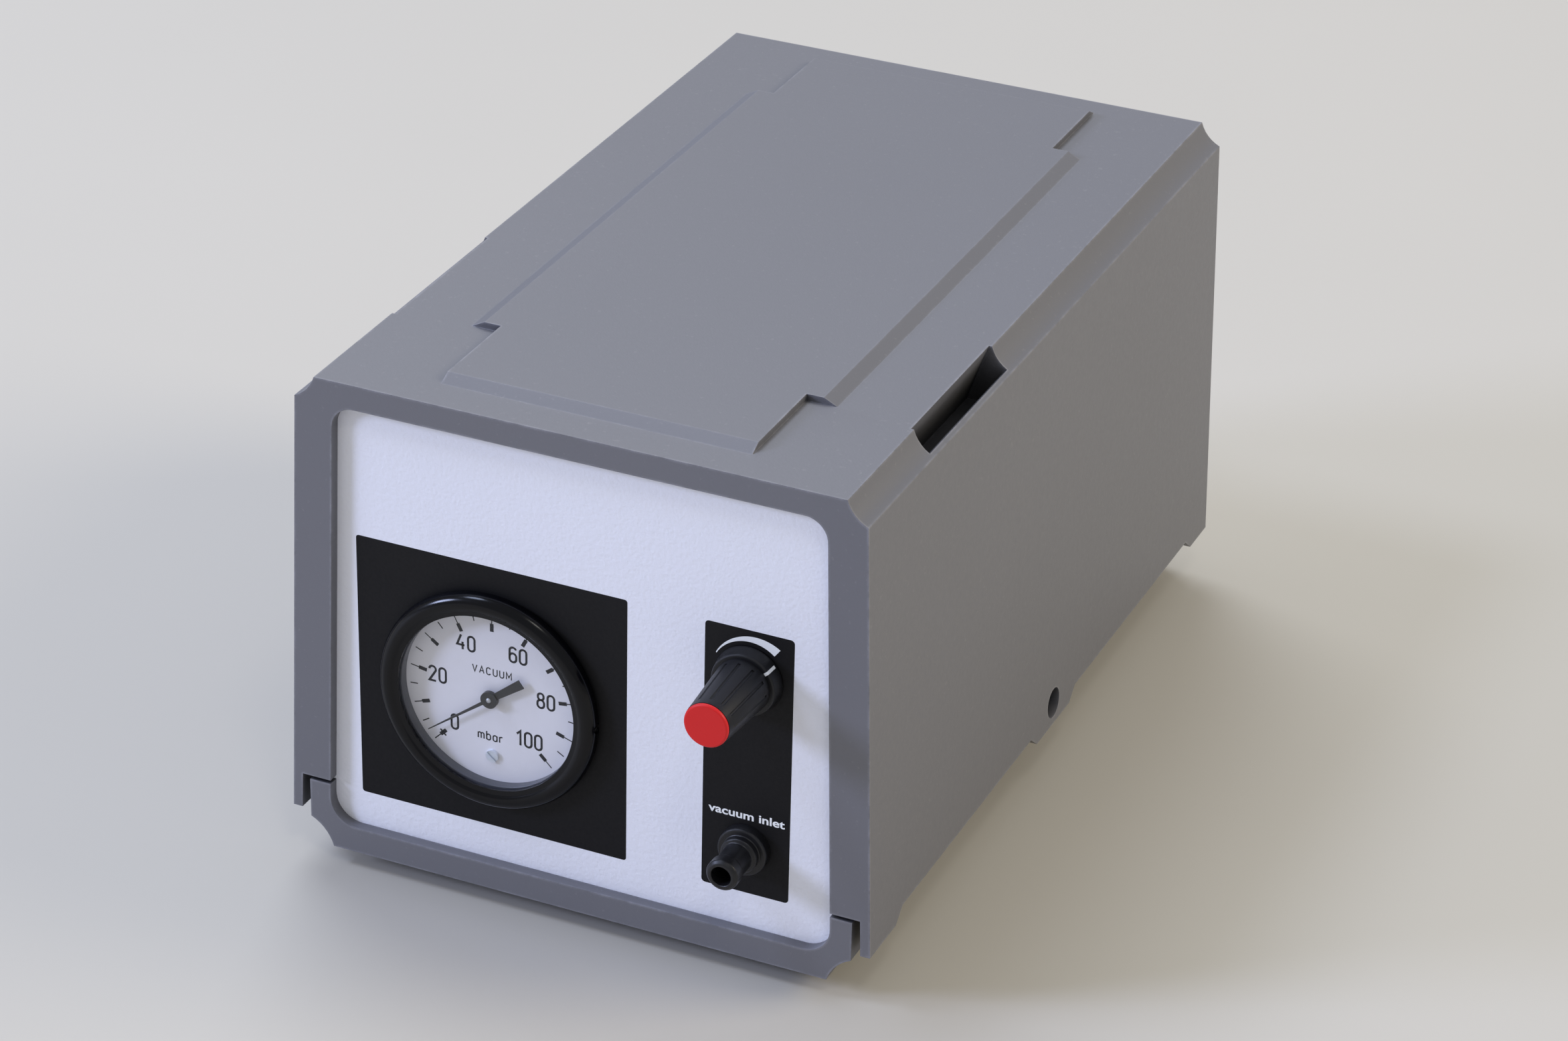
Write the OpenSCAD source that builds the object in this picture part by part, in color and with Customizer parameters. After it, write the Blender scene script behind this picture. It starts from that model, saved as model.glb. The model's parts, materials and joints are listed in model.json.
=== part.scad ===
// Bench vacuum pump in a stackable moulded case. The front panel carries a dial gauge, a bleed
// regulator knob and a hose nozzle; a vibrating-arm diaphragm pump stands inside.
// The origin is on the surface that the pump stands on, at the middle of its bounding box.
// X is to the right seen from the front, Y is to the rear and Z is up.

/* [Case] */
// Case width just under the top coves
case_w = 173.8; // [170:0.2:186]
// Case depth from front face to rear face
case_d = 280; // [272:1:300]
// Case height from the underside of the tray to the flat top
case_h = 153.3; // [151:0.1:166]
// Outward lean of each side wall per millimetre of drop
side_lean = 0.036; // [0.03:0.001:0.04]
// Wall thickness of the cover and the tray
wall = 3; // [2.6:0.1:3.2]
// Thickness of the front and rear frames, which is how deep the panels are set
frame_t = 3.55; // [3:0.05:4.5]
// Width of the hollow cove along each top edge
cove_w = 6.3; // [5:0.1:7]
// Height of the cove
cove_h = 7; // [6:0.1:8]
// Radius of the cove's hollow
cove_r = 11; // [9:0.5:14]
// Gap of the parting line between the cover and the tray
part_gap = 1.2; // [0.6:0.1:1.6]
// Height of the tray's upper edge above its underside
tray_h = 21.1; // [19:0.1:23]
// Width of the slot between the tray's side and the cover's skirt
skirt_gap = 2.4; // [1.6:0.1:2.8]
// Height of the skirt's corners above the tray's underside
skirt_low = 10.9; // [9:0.1:12]
// How much higher the skirt's edge is between the corners
skirt_rise = 4; // [2:0.1:5]
// Length of each low front corner of the skirt
skirt_corner = 18.5; // [14:0.5:26]
// Length of each low rear corner of the skirt
skirt_corner_back = 15; // [12:0.5:26]
// Length of the low tab around each side screw
tab_len = 27; // [24:1:34]
// Length of the sloped ends of the corners and the tab
skirt_ramp = 5; // [2:0.5:6]
// Width of the hollow cove along each lower edge of the tray
tray_cove_w = 7.3; // [6:0.1:8]
// Height of the tray's cove
tray_cove_h = 8.5; // [7:0.1:9]
// Radius of the tray's cove
tray_cove_r = 13; // [11:0.5:15]

/* [Raised top] */
// Height of the raised field on the top
field_h = 2; // [1:0.1:3]
// Half width of the field's narrow ends
field_end_hw = 47.3; // [40:0.1:50]
// Half width of the field's middle at its foot
field_mid_hw = 56.5; // [53:0.1:62]
// Run of the field's sloped sides and ends
field_run = 4; // [2:0.1:6]
// Distance from the front face to the foot of the field
field_front = 12.3; // [8:0.1:20]
// Distance from the rear face to the foot of the field
field_back = 8.5; // [6:0.1:20]
// Distance from the front face to the wide middle
field_mid_front = 48.3; // [40:0.1:60]
// Distance from the rear face to the wide middle
field_mid_back = 44.5; // [40:0.1:60]

/* [Finger grips] */
// Distance from the front face to each finger grip
grip_front = 45.4; // [40:0.1:60]
// Length of each finger grip
grip_len = 57; // [50:0.5:70]
// Distance the grip's mouth reaches into the top, past the cove
grip_back = 0.9; // [0.6:0.1:1.4]
// Distance the pocket's inner wall leans in under the top
grip_slant = 6; // [4:0.5:8]
// Depth of the grip's pocket, downwards
grip_down = 18; // [14:0.5:22]
// Wall thickness of the pocket
grip_wall = 2; // [1.5:0.1:3]
// Thickness of the side wall beside the pocket
grip_skin = 2.4; // [2.2:0.1:2.8]
// Height of the lip left at the foot of the cove
grip_lip = 0.7; // [0.5:0.1:2]

/* [Panels] */
// Half width of the panel opening at its top
open_hw = 75.1; // [72:0.1:76]
// Lean of the opening's sides per millimetre of drop
open_lean = 0.033; // [0.03:0.001:0.036]
// Distance from the flat top down to the opening
open_top = 7.6; // [6.5:0.1:9]
// Height of the opening's lower edge above the tray's underside
open_low = 8.2; // [7:0.1:10]
// Corner radius at the top of the opening
open_r_top = 7; // [5:0.5:9]
// Corner radius at the bottom of the opening
open_r_low = 8.5; // [7:0.5:10]
// Thickness of the front and rear panels
panel_t = 2; // [1.6:0.1:2.4]
// How far each panel reaches behind its frame
panel_lap = 1.5; // [1:0.1:2]
// Reach of the ribs that hold the panels from behind
rib_reach = 4.5; // [3.5:0.1:6]
// Thickness of those ribs
rib_t = 2; // [1.5:0.1:3]

/* [Feet] */
// Height of the rubber feet
foot_h = 6; // [4:0.5:10]
// Radius of the feet
foot_r = 9; // [7:0.5:11]
// Radius of the stem that holds a foot in the tray
foot_stem_r = 3; // [2:0.1:3.5]
// Distance of the feet from the middle, sideways
foot_x = 58; // [50:1:64]
// Distance of the feet from the front and rear faces
foot_in = 28; // [20:1:34]

/* [Gauge] */
// Gauge centre, to the left of the middle
gauge_left = 28.1; // [26:0.1:32]
// Gauge centre above the tray's underside
gauge_up = 61.9; // [58:0.1:70]
// Outer radius of the gauge's can
can_r = 30; // [29.5:0.1:30.6]
// Wall thickness of the can
can_wall = 1.1; // [0.8:0.1:1.2]
// Depth of the can behind the panel's face
can_depth = 31; // [29:0.5:32]
// Radius of the can's front flange
flange_r = 33; // [32.5:0.1:33.2]
// Outer radius of the bezel
bezel_r = 34.4; // [34.2:0.1:36]
// Radius of the bezel's rounded section
bezel_round = 3.2; // [3:0.1:3.3]
// Radius of the bezel's sight hole
sight_r = 27.9; // [26:0.1:28.2]
// Thickness of the glass
glass_t = 1.4; // [1:0.1:1.6]
// Depth from the glass to the dial
dial_gap = 3; // [2.8:0.1:3.4]
// Thickness of the dial
dial_t = 0.5; // [0.4:0.1:0.8]
// Length of the pointer from its hub to its tip
needle_len = 24.8; // [20:0.1:26]
// Length of the pointer's tail
tail_len = 12.6; // [9:0.1:15]
// Radius of the pointer's hub
hub_r = 2.6; // [2:0.1:3]
// Where the pointer rests, in degrees clockwise from the top
needle_rest = -127; // [-135:1:-120]
// Distance of the dial's setting screw below the centre
set_screw_drop = 19.4; // [17:0.1:21]
// Radius of the setting screw's head
set_screw_r = 1.9; // [1.4:0.1:2.2]
// Pitch radius of the pinion on the pointer's arbor
pinion_r = 2; // [1.8:0.1:2.4]
// Number of times the sector is larger than the pinion
sector_ratio = 9; // [8:0.5:9]
// Radius of the pressure capsule
capsule_r = 19; // [16:0.5:20]

/* [Regulator] */
// Regulator and nozzle axis, to the right of the middle
valve_right = 51.7; // [50:0.1:54]
// Regulator axis above the tray's underside
valve_up = 89.3; // [86:0.1:94]
// Distance of the knob's front from the front face of the case
knob_out = 25; // [22:0.5:30]
// Radius of the knob's grip at its wide end
knob_r = 8.3; // [8:0.05:8.8]
// Number of fine grooves around the knob
knob_flutes = 12; // [10:1:20]
// Radius of the grooves
flute_r = 0.5; // [0.4:0.05:0.7]
// Radius of the coloured cap
cap_r = 6.6; // [6:0.1:6.7]
// Outer radius of the skirt under the knob
skirt_r = 10.3; // [10.2:0.1:12]
// Radius of the spindle
spindle_r = 3; // [2.8:0.05:3.2]
// Running clearance around turning shafts
run_gap = 0.04; // [0.02:0.01:0.08]
// Radius of the regulator's body
valve_r = 8; // [7.5:0.1:9]
// Length of the regulator's body behind the panel
valve_len = 53; // [52:1:58]

/* [Hose fittings] */
// Nozzle axis above the tray's underside
inlet_up = 34.4; // [32:0.1:38]
// Distance of the nozzle's tip from the face of the case
nozzle_out = 13.3; // [10:0.1:18]
// Radius of the nozzle's bore
nozzle_bore = 3; // [2.4:0.1:3.2]
// Radius of the nozzle at its root
nozzle_root_r = 5.5; // [5.2:0.1:6]
// Radius of the nozzle at its tip
nozzle_tip_r = 4.85; // [4.5:0.05:5]
// Radius of the nozzle's flange
nozzle_flange_r = 7.5; // [7:0.1:8]
// Radius of the threaded bushes that pass through the panels
bush_r = 4.9; // [4.6:0.1:5]
// Bore radius of the inner hoses
hose_bore = 3; // [2.8:0.1:3.2]
// Wall of the inner hoses
hose_wall = 1.5; // [1.2:0.1:2]
// Bore radius of the small inner fittings
port_r = 1.6; // [1.2:0.1:1.8]

/* [Pump] */
// Thickness of the chassis plate
chassis_t = 2; // [1.5:0.1:2.2]
// Height of the vibrating arm's middle above the tray's underside
arm_up = 46; // [45:0.5:48]
// Distance from the arm's pivot to its magnet's face
arm_len = 95; // [94:0.5:96]
// Radius of the pump's diaphragm
diaphragm_r = 25; // [22:0.5:26]
// Radius of the arm's pivot pin
pin_r = 3; // [2.5:0.1:3.2]
// Width of the magnet core
core_w = 60; // [56:1:62]
// Height of the core's stack
core_h = 24; // [20:1:26]

/* [Mains parts] */
// Mains inlet, to the left of the middle
mains_left = 45; // [42:0.5:50]
// Centre of the mains inlet above the tray's underside
mains_up = 40; // [38:0.5:46]
// Width of the socket
socket_w = 24.4; // [24:0.1:25]
// Height of the socket
socket_h = 16.8; // [16:0.1:17]
// Depth of the socket
socket_d = 16; // [14:0.5:18]
// Width of the switch's rocker
rocker_w = 9.6; // [8:0.1:11]
// Height of the switch's rocker
rocker_h = 19; // [17:0.5:21]
// Tilt of the rocker from its middle to each end
rocker_tilt = 8; // [5:1:10]

/* [Hidden] */
$fn = 64;

// Overshoot of every cutting solid
over = 1;
// Play around pieces that are pressed in
press_gap = 0.01;
// Play between pieces that sit in each other without moving
seat_gap = 0.3;
// Play around fixed round pieces in their holes
hole_gap = 0.1;
// Play between a hose and its barb
barb_gap = 0.03;

tray_z = foot_h;
top_z = tray_z + case_h;
cove_z = top_z - cove_h;
tray_top = tray_z + tray_h;
part_z = tray_top + part_gap;
skirt_z = tray_z + skirt_low;
edge_z = skirt_z + skirt_rise;
floor_z = tray_z + wall;

mid_y = (knob_out - nozzle_out) / 2;
front_y = mid_y - case_d / 2;
rear_y = mid_y + case_d / 2;
face_y = front_y + frame_t;
back_y = face_y + panel_t;
rear_face_y = rear_y - frame_t;
rear_back_y = rear_face_y - panel_t;

function side_x(z) = case_w / 2 + side_lean * (cove_z - z);
tray_hw = side_x(tray_top) - wall - skirt_gap;

// Centre of an arc of radius r that hollows the chord from a to b, on the side given by s
function arc_centre(a, b, r, s) =
    let (d = b - a, half = norm(d) / 2, m = (a + b) / 2, n = [-d[1], d[0]] / norm(d))
    m + s * n * sqrt(r * r - half * half);
cove_c = arc_centre([case_w / 2, cove_z], [case_w / 2 - cove_w, top_z], cove_r, -1);
tray_cove_c = arc_centre([tray_hw, tray_z + tray_cove_h], [tray_hw - tray_cove_w, tray_z], tray_cove_r, 1);

open_z1 = top_z - open_top;
open_z0 = tray_z + open_low;

screw_z = tray_z + 18.1;
screw_y = front_y + 141.2;
screw_r = 2;
screw_head_r = 3.7;
screw_head_t = 2.4;
recess_r = 4.8;
cup_wall = 2;
cup_depth = 9.5;
cup_x = side_x(screw_z) - cup_depth - cup_wall;
cup_r = recess_r + cup_wall;
rib_hw = 60;
tray_vent_hy = 22;
lug_t = 8;
lug_hw = 9;
lug_top = screw_z + 7;
insert_wall = 1;

gauge_x = -gauge_left;
gauge_z = tray_z + gauge_up;
dial_y = face_y + 1.25;
glass_back = dial_y - dial_gap;
glass_y = glass_back - glass_t;
flange_t = 0.8;
flange_y = face_y - flange_t;
bezel_c = [bezel_r - bezel_round, face_y - 1.65];
lip_y = glass_y - 0.76;
glass_r = can_r - can_wall + 0.2;
arbor_r = 0.75;
plate_t = 1;
plate_y = [dial_y + dial_t + 2.5, dial_y + dial_t + 9.5];
plate_r = can_r - can_wall - 3;
pinion_y = plate_y[0] + plate_t + 1.5;
pinion_w = 2.5;
sector_r = pinion_r * sector_ratio;
mesh_gap = 0.25;
sector_c = [gauge_x, gauge_z - pinion_r - sector_r - mesh_gap];
pinion_teeth = 10;
pinion_tip = pinion_r + 0.45;
sector_tip = sector_r + 0.25;
tooth_root = 0.85;
sector_t = 1.2;
gauge_span = 270;
pillar_r = 1.6;
pillar_ring = plate_r - 2.6;
pillar_angles = [30, 150, 310];
can_back = face_y + can_depth;
can_end_t = 1.5;
ledge = 1.5;
capsule_t = 7;
capsule_y = can_back - 6 - capsule_t;
stem_r = 4;
stud_r = 1.5;
stud_x = 17;
stud_len = 7;
bezel_screw_r = 1.5;
can_notch = 0.4;
clamp_t = 1.5;
clamp_hw = 5;
nut_gap = 0.05;
m3_nut_t = 2.4;
m3_nut_r = 3.2;

valve_x = valve_right;
valve_z = tray_z + valve_up;
inlet_z = tray_z + inlet_up;
knob_y = front_y - knob_out;
cap_t = 1.2;
grip_y = face_y - 4.75;
skirt_edge_y = face_y - 2.55;
skirt_back_y = face_y - 0.5;
panel_nut_t = 1.9;
panel_nut_r = 7;
collet_r = 5;
knob_tip_r = cap_r + 0.1;
knob_len = grip_y - knob_y - cap_t;
knob_taper = atan((knob_r - knob_tip_r) / knob_len);
flute_end = 2;
skirt_in = 0.7;
collet_gap = 0.05;

nozzle_flange_t = 3.25;
tail_len_in = 12;
tail_nut_t = 3;
fitting_nut_r = nozzle_flange_r + 0.5;
nozzle_land = 3;
nozzle_bevel = 0.9;
nozzle_neck_r = nozzle_tip_r - 0.45;
barb_r = hose_bore - barb_gap;
barb_len = 10;
hose_r = hose_bore + hose_wall;
hose_shoulder = 0.5;
block = 14;
manifold_y = face_y + 46;
spindle_end = manifold_y + 4;

chassis_z = floor_z + 10.5;
deck_z = chassis_z + chassis_t;
post_r = 5;
post_h = 9;
grommet_r = 6;
grommet_neck = 4;
chassis_x = [-55, 65];
chassis_y = [-40, 114];
post_x = [-47, 57];
post_y = [-30, 94];
post_screw_r = 1.5;

arm_x = valve_x - 40;
arm_z = tray_z + arm_up;
pivot_in = 40.3;
pivot_y = rear_back_y - pivot_in;
pin_head_t = 1.5;
arm_t = 3;
arm_h = 16;
eye_r = 6;
magnet_t = 9;
magnet_hw = 9;
magnet_h = 20;
magnet_y = pivot_y - arm_len;
head_y = 60;
plate_gap = 6;
clamp_plate_r = 12;
clamp_plate_t = 1.5;
rubber_t = 2;
rubber_x = arm_x + arm_t / 2 + plate_gap + clamp_plate_t;
ring_t = 3;
head_t = 14;
cavity_r = 19;
cavity_t = 5.5;
chest_x = rubber_x + rubber_t + head_t;
chest_hw = 24;
chest_t = 2 * (valve_x - chest_x);
stand_w = 28;

pole_gap = 3;
core_y1 = magnet_y - pole_gap;
core_d = 38;
core_y0 = core_y1 - core_d;
yoke_t = 12;
coil_gap = 0.3;

mains_x = -mains_left;
mains_z = tray_z + mains_up;
mains_flange_t = 2;
mains_body_d = 26;
socket_wall = 2.2;
drawer_w = 20;
drawer_h = 7.4;
drawer_d = 20;
drawer_gap = 0.3;
drawer_z = mains_z + socket_h / 2 + socket_wall + drawer_h / 2 + drawer_gap;
mains_z0 = mains_z - socket_h / 2 - socket_wall;
mains_z1 = drawer_z + drawer_h / 2 + drawer_gap + 2;
switch_x = mains_x + 44;
switch_z = mains_z;
rocker_d = 12;
rocker_gap = 0.4;
switch_wall = 1.8;

shell_grey = [0.45, 0.45, 0.50];
panel_white = [0.86, 0.87, 0.90];
soft_black = [0.10, 0.10, 0.11];
steel = [0.68, 0.69, 0.70];
brass = [0.78, 0.62, 0.32];
copper = [0.66, 0.36, 0.20];
cap_red = [0.78, 0.14, 0.15];
dial_white = [0.93, 0.92, 0.90];
hose_clear = [0.80, 0.80, 0.76];

// Helpers

// Extrudes an X-Z outline from y0 to y1
module slab(y0, y1) translate([0, y1, 0]) rotate([90, 0, 0]) linear_extrude(y1 - y0) children();

// Extrudes a Y-Z outline from x0 to x1
module slab_x(x0, x1) translate([x0, 0, 0]) rotate([90, 0, 90]) linear_extrude(x1 - x0) children();

// Turns a profile of [radius, y] points about an axis along Y
module turned(x, z) translate([x, 0, z]) rotate([-90, 0, 0]) rotate_extrude($fn = 96) children();

// Round bar along each axis, from one value to another
module bar_y(x, z, y0, y1, r) translate([x, y0, z]) rotate([-90, 0, 0]) cylinder(r = r, h = y1 - y0);
module bar_x(y, z, x0, x1, r) translate([x0, y, z]) rotate([0, 90, 0]) cylinder(r = r, h = x1 - x0);
module bar_z(x, y, z0, z1, r) translate([x, y, z0]) cylinder(r = r, h = z1 - z0);

// Hexagon nut along Y with a round hole
module nut_y(x, z, y0, y1, r, hole) difference() {
    translate([x, y0, z]) rotate([-90, 0, 0]) cylinder(r = r, h = y1 - y0, $fn = 6);
    bar_y(x, z, y0 - over, y1 + over, hole);
}

// Block between two corners
module block_of(a, b) translate(a) cube(b - a);

// Repeats the front end's shapes at the rear end
module both_ends() {
    children();
    translate([0, 2 * mid_y, 0]) mirror([0, 1, 0]) children();
}

// Repeats the right side's shapes on the left
module both_sides() {
    children();
    mirror([1, 0, 0]) children();
}

// Case

module case_section(z0, z1, inset) polygon([
    [-side_x(z0) + inset, z0], [side_x(z0) - inset, z0],
    [side_x(z1) - inset, z1], [-side_x(z1) + inset, z1]]);

module cove_bars(r) both_sides() bar_y(cove_c[0], cove_c[1], front_y - over, rear_y + over, r);

module tray_cove_bars(r) both_sides()
    bar_y(tray_cove_c[0], tray_cove_c[1], front_y - over, rear_y + over, r);

corner_steps = 12;

function arc_points(c, r, a0, a1) = [for (i = [0 : corner_steps])
    let (a = a0 + (a1 - a0) * i / corner_steps) c + r * [cos(a), sin(a)]];

// Right half of the panel opening's outline, grown by g all round
function opening_half(g) =
    let (k = open_lean, s = sqrt(1 + k * k), rt = open_r_top + g, rl = open_r_low + g,
        z1 = open_z1 + g, z0 = open_z0 - g,
        xt = open_hw + g * s + k * (rt - g) - rt * s,
        xl = open_hw + g * s + k * (open_z1 - z0 - rl) - rl * s)
    concat(arc_points([xt, z1 - rt], rt, 90, atan(k)), arc_points([xl, z0 + rl], rl, atan(k), -90));

module opening_outline(g) {
    half = opening_half(g);
    polygon(concat(half, [for (i = [len(half) - 1 : -1 : 0]) [-half[i][0], half[i][1]]]));
}

module cover_block() difference() {
    slab(front_y, rear_y) case_section(skirt_z, top_z, 0);
    cove_bars(cove_r);
}

module raised_field() {
    slab(front_y + field_mid_front, rear_y - field_mid_back) polygon([
        [-field_mid_hw, top_z - over], [field_mid_hw, top_z - over], [field_mid_hw, top_z],
        [field_mid_hw - field_run, top_z + field_h], [-field_mid_hw + field_run, top_z + field_h],
        [-field_mid_hw, top_z]]);
    y0 = front_y + field_front;
    y1 = rear_y - field_back;
    slab_x(-field_end_hw, field_end_hw) polygon([
        [y0, top_z - over], [y1, top_z - over], [y1, top_z], [y1 - field_run, top_z + field_h],
        [y0 + field_run, top_z + field_h], [y0, top_z]]);
}

grip_x = case_w / 2 - cove_w;
grip_y0 = front_y + grip_front;
grip_y1 = grip_y0 + grip_len;
grip_floor = top_z - grip_down;
grip_side = side_x(top_z) - grip_skin;
lip_z = cove_z + grip_lip;
lip_c = [cove_c[0] - sqrt(pow(cove_r, 2) - pow(lip_z - cove_c[1], 2)), lip_z];

// Pocket's walls: its inner wall leans in under the top, so that fingers hook behind it
module grip_pocket() both_sides() intersection() {
    slab(grip_y0 - grip_wall, grip_y1 + grip_wall) polygon([
        [grip_x - grip_back - grip_wall, top_z - wall / 2],
        [grip_x - grip_back - grip_slant - grip_wall, grip_floor - grip_wall],
        [case_w / 2 + cove_w, grip_floor - grip_wall], [case_w / 2 + cove_w, top_z - wall / 2]]);
    cover_block();
}

// Space in the pocket, with its mouth in the cove
module grip_cut() both_sides() slab(grip_y0, grip_y1) polygon([
    [grip_x - grip_back, top_z + over], [grip_x - grip_back, top_z],
    [grip_x - grip_back - grip_slant, grip_floor], [grip_side, grip_floor],
    [grip_side, lip_c[1] - (lip_c[0] - grip_side)], [lip_c[0] + cove_w, lip_c[1] + cove_w],
    [lip_c[0] + cove_w, top_z + over]]);

// Space under the skirt between a low corner and the tab, or the other way round
module skirt_cut(y0, y1) slab_x(-case_w, case_w) polygon([
    [y0, skirt_z - over], [y0, skirt_z], [y0 + skirt_ramp, edge_z], [y1 - skirt_ramp, edge_z],
    [y1, skirt_z], [y1, skirt_z - over]]);

module upper_cover() color(shell_grey) {
    difference() {
        union() {
            difference() {
                cover_block();
                difference() {
                    slab(face_y, rear_face_y) case_section(skirt_z - over, top_z - wall, wall);
                    cove_bars(cove_r + wall);
                }
            }
            raised_field();
            grip_pocket();
            both_sides() bar_x(screw_y, screw_z, cup_x, side_x(screw_z) - 1, cup_r);
            both_ends() block_of([-rib_hw, back_y + hole_gap, open_z1 + panel_lap - rib_reach],
                [rib_hw, back_y + hole_gap + rib_t, top_z - wall / 2]);
        }
        grip_cut();
        both_ends() slab(front_y - over, face_y + over) opening_outline(0);
        both_ends() slab(front_y - over, face_y) case_section(skirt_z - over, part_z, wall);
        skirt_cut(front_y + skirt_corner, screw_y - tab_len / 2);
        skirt_cut(screw_y + tab_len / 2, rear_y - skirt_corner_back);
        both_sides() {
            bar_x(screw_y, screw_z, cup_x + cup_wall, case_w, recess_r);
            bar_x(screw_y, screw_z, cup_x - over, case_w, screw_r + hole_gap);
        }
    }
}

vent_n = 9;
vent_w = 3;
vent_step = 9;

module lower_tray() color(shell_grey) difference() {
    union() {
        difference() {
            slab(front_y, rear_y) polygon([
                [-tray_hw, tray_z], [tray_hw, tray_z], [tray_hw, tray_top], [-tray_hw, tray_top]]);
            tray_cove_bars(tray_cove_r);
            difference() {
                block_of([-tray_hw + wall, face_y, floor_z], [tray_hw - wall, rear_face_y, tray_top + over]);
                tray_cove_bars(tray_cove_r + wall);
            }
        }
        for (x = post_x, y = post_y) bar_z(x, y, floor_z - over, floor_z + post_h, post_r);
        both_sides() block_of([cup_x - seat_gap - lug_t, screw_y - lug_hw, floor_z - over],
            [cup_x - seat_gap, screw_y + lug_hw, lug_top]);
        both_ends() block_of([-rib_hw, back_y + hole_gap, floor_z - over],
            [rib_hw, back_y + hole_gap + rib_t, open_z0 - panel_lap + rib_reach]);
    }
    both_ends() slab(front_y - over, face_y + over) opening_outline(0);
    both_sides() {
        block_of([cup_x - seat_gap, screw_y - cup_r - 2 * seat_gap, screw_z - cup_r - 2 * seat_gap],
            [tray_hw + over, screw_y + cup_r + 2 * seat_gap, tray_top + over]);
        bar_x(screw_y, screw_z, cup_x - lug_t - over, cup_x, screw_r + insert_wall);
    }
    for (x = [-foot_x, foot_x], y = [front_y + foot_in, rear_y - foot_in])
        bar_z(x, y, tray_z - over, floor_z + over, foot_stem_r);
    for (x = post_x, y = post_y) bar_z(x, y, floor_z + 1, floor_z + post_h + over, post_screw_r);
    for (i = [0 : vent_n - 1]) translate([(i - (vent_n - 1) / 2) * vent_step, 0, 0])
        block_of([-vent_w / 2, -tray_vent_hy, tray_z - over],
            [vent_w / 2, tray_vent_hy, floor_z + over]);
}

module foot_profile() polygon([
    [0, 0], [foot_r - 1, 0], [foot_r, 1], [foot_r - 1, foot_h], [foot_stem_r - hole_gap, foot_h],
    [foot_stem_r - hole_gap, floor_z], [foot_stem_r + 1, floor_z], [foot_stem_r, floor_z + 2],
    [0, floor_z + 2]]);

module rubber_feet() color(soft_black)
    for (x = [-foot_x, foot_x], y = [front_y + foot_in, rear_y - foot_in])
        translate([x, y, 0]) rotate_extrude() foot_profile();

module cover_screws() color(soft_black) both_sides() {
    head_x = cup_x + cup_wall;
    difference() {
        bar_x(screw_y, screw_z, head_x, head_x + screw_head_t, screw_head_r);
        block_of([head_x + 1.2, screw_y - 0.5, screw_z - 3], [head_x + 3, screw_y + 0.5, screw_z + 3]);
        block_of([head_x + 1.2, screw_y - 3, screw_z - 0.5], [head_x + 3, screw_y + 3, screw_z + 0.5]);
    }
    bar_x(screw_y, screw_z, cup_x - lug_t, head_x + over, screw_r - barb_gap);
}

module lug_inserts() color(brass) both_sides() difference() {
    bar_x(screw_y, screw_z, cup_x - seat_gap - lug_t, cup_x - seat_gap, screw_r + insert_wall);
    bar_x(screw_y, screw_z, cup_x - lug_t - over, cup_x + over, screw_r);
}

module front_panel() color(panel_white) difference() {
    slab(face_y, back_y) opening_outline(panel_lap);
    bar_y(gauge_x, gauge_z, face_y - over, back_y + over, can_r + hole_gap);
    bar_y(valve_x, valve_z, face_y - over, back_y + over, bush_r + hole_gap);
    bar_y(valve_x, inlet_z, face_y - over, back_y + over, bush_r + hole_gap);
}

rear_vent_n = 11;
rear_vent_z = [top_z - 52, top_z - 22];

module rear_panel() color(panel_white) difference() {
    slab(rear_back_y, rear_face_y) opening_outline(panel_lap);
    bar_y(valve_x, inlet_z, rear_back_y - over, rear_face_y + over, bush_r + hole_gap);
    block_of([mains_x - mains_hw - hole_gap, rear_back_y - over, mains_z0 - hole_gap],
        [mains_x + mains_hw + hole_gap, rear_face_y + over, mains_z1 + hole_gap]);
    block_of([switch_x - switch_hw - hole_gap, rear_back_y - over, switch_z - switch_hh - hole_gap],
        [switch_x + switch_hw + hole_gap, rear_face_y + over, switch_z + switch_hh + hole_gap]);
    for (i = [0 : rear_vent_n - 1]) translate([(i - (rear_vent_n - 1) / 2) * vent_step, 0, 0])
        block_of([-vent_w / 2, rear_back_y - over, rear_vent_z[0]],
            [vent_w / 2, rear_face_y + over, rear_vent_z[1]]);
}

// Gauge

module gauge_can() color(soft_black) {
    difference() {
        can_shell();
        for (m = [0, 1]) translate([gauge_x, 0, gauge_z]) mirror([m, 0, 0])
            block_of([can_r - can_wall - over, flange_y - over, -bezel_screw_r - hole_gap],
                [flange_r + over, face_y + can_notch, bezel_screw_r + hole_gap]);
    }
    for (m = [-1, 1]) bar_y(gauge_x + m * stud_x, gauge_z, can_back - 1, can_back + stud_len, stud_r);
}

module can_shell() turned(gauge_x, gauge_z) polygon([
        [can_r - can_wall, flange_y], [flange_r, flange_y], [flange_r, face_y], [can_r, face_y],
        [can_r, can_back], [stem_r + hole_gap, can_back], [stem_r + hole_gap, can_back - can_end_t],
        [can_r - can_wall, can_back - can_end_t], [can_r - can_wall, dial_y + dial_t + ledge],
        [can_r - can_wall - ledge, dial_y + dial_t + ledge], [can_r - can_wall - ledge, dial_y + dial_t],
        [can_r - can_wall, dial_y + dial_t]]);

bezel_arc = [for (a = [28 : -6 : -128]) bezel_c + bezel_round * [cos(a), sin(a)]];

module gauge_bezel() color(soft_black) difference() {
    turned(gauge_x, gauge_z) polygon(concat(
        [[flange_r + hole_gap, flange_y - hole_gap], [flange_r + hole_gap, face_y - hole_gap]], bezel_arc,
        [[sight_r, lip_y], [sight_r, glass_y - hole_gap], [glass_r + hole_gap, glass_y - hole_gap],
        [glass_r + hole_gap, flange_y - hole_gap]]));
    for (m = [0, 1]) translate([gauge_x, 0, gauge_z]) mirror([m, 0, 0])
        bar_x(bezel_c[1], 0, glass_r, bezel_r + over, bezel_screw_r + hole_gap);
}

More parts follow.
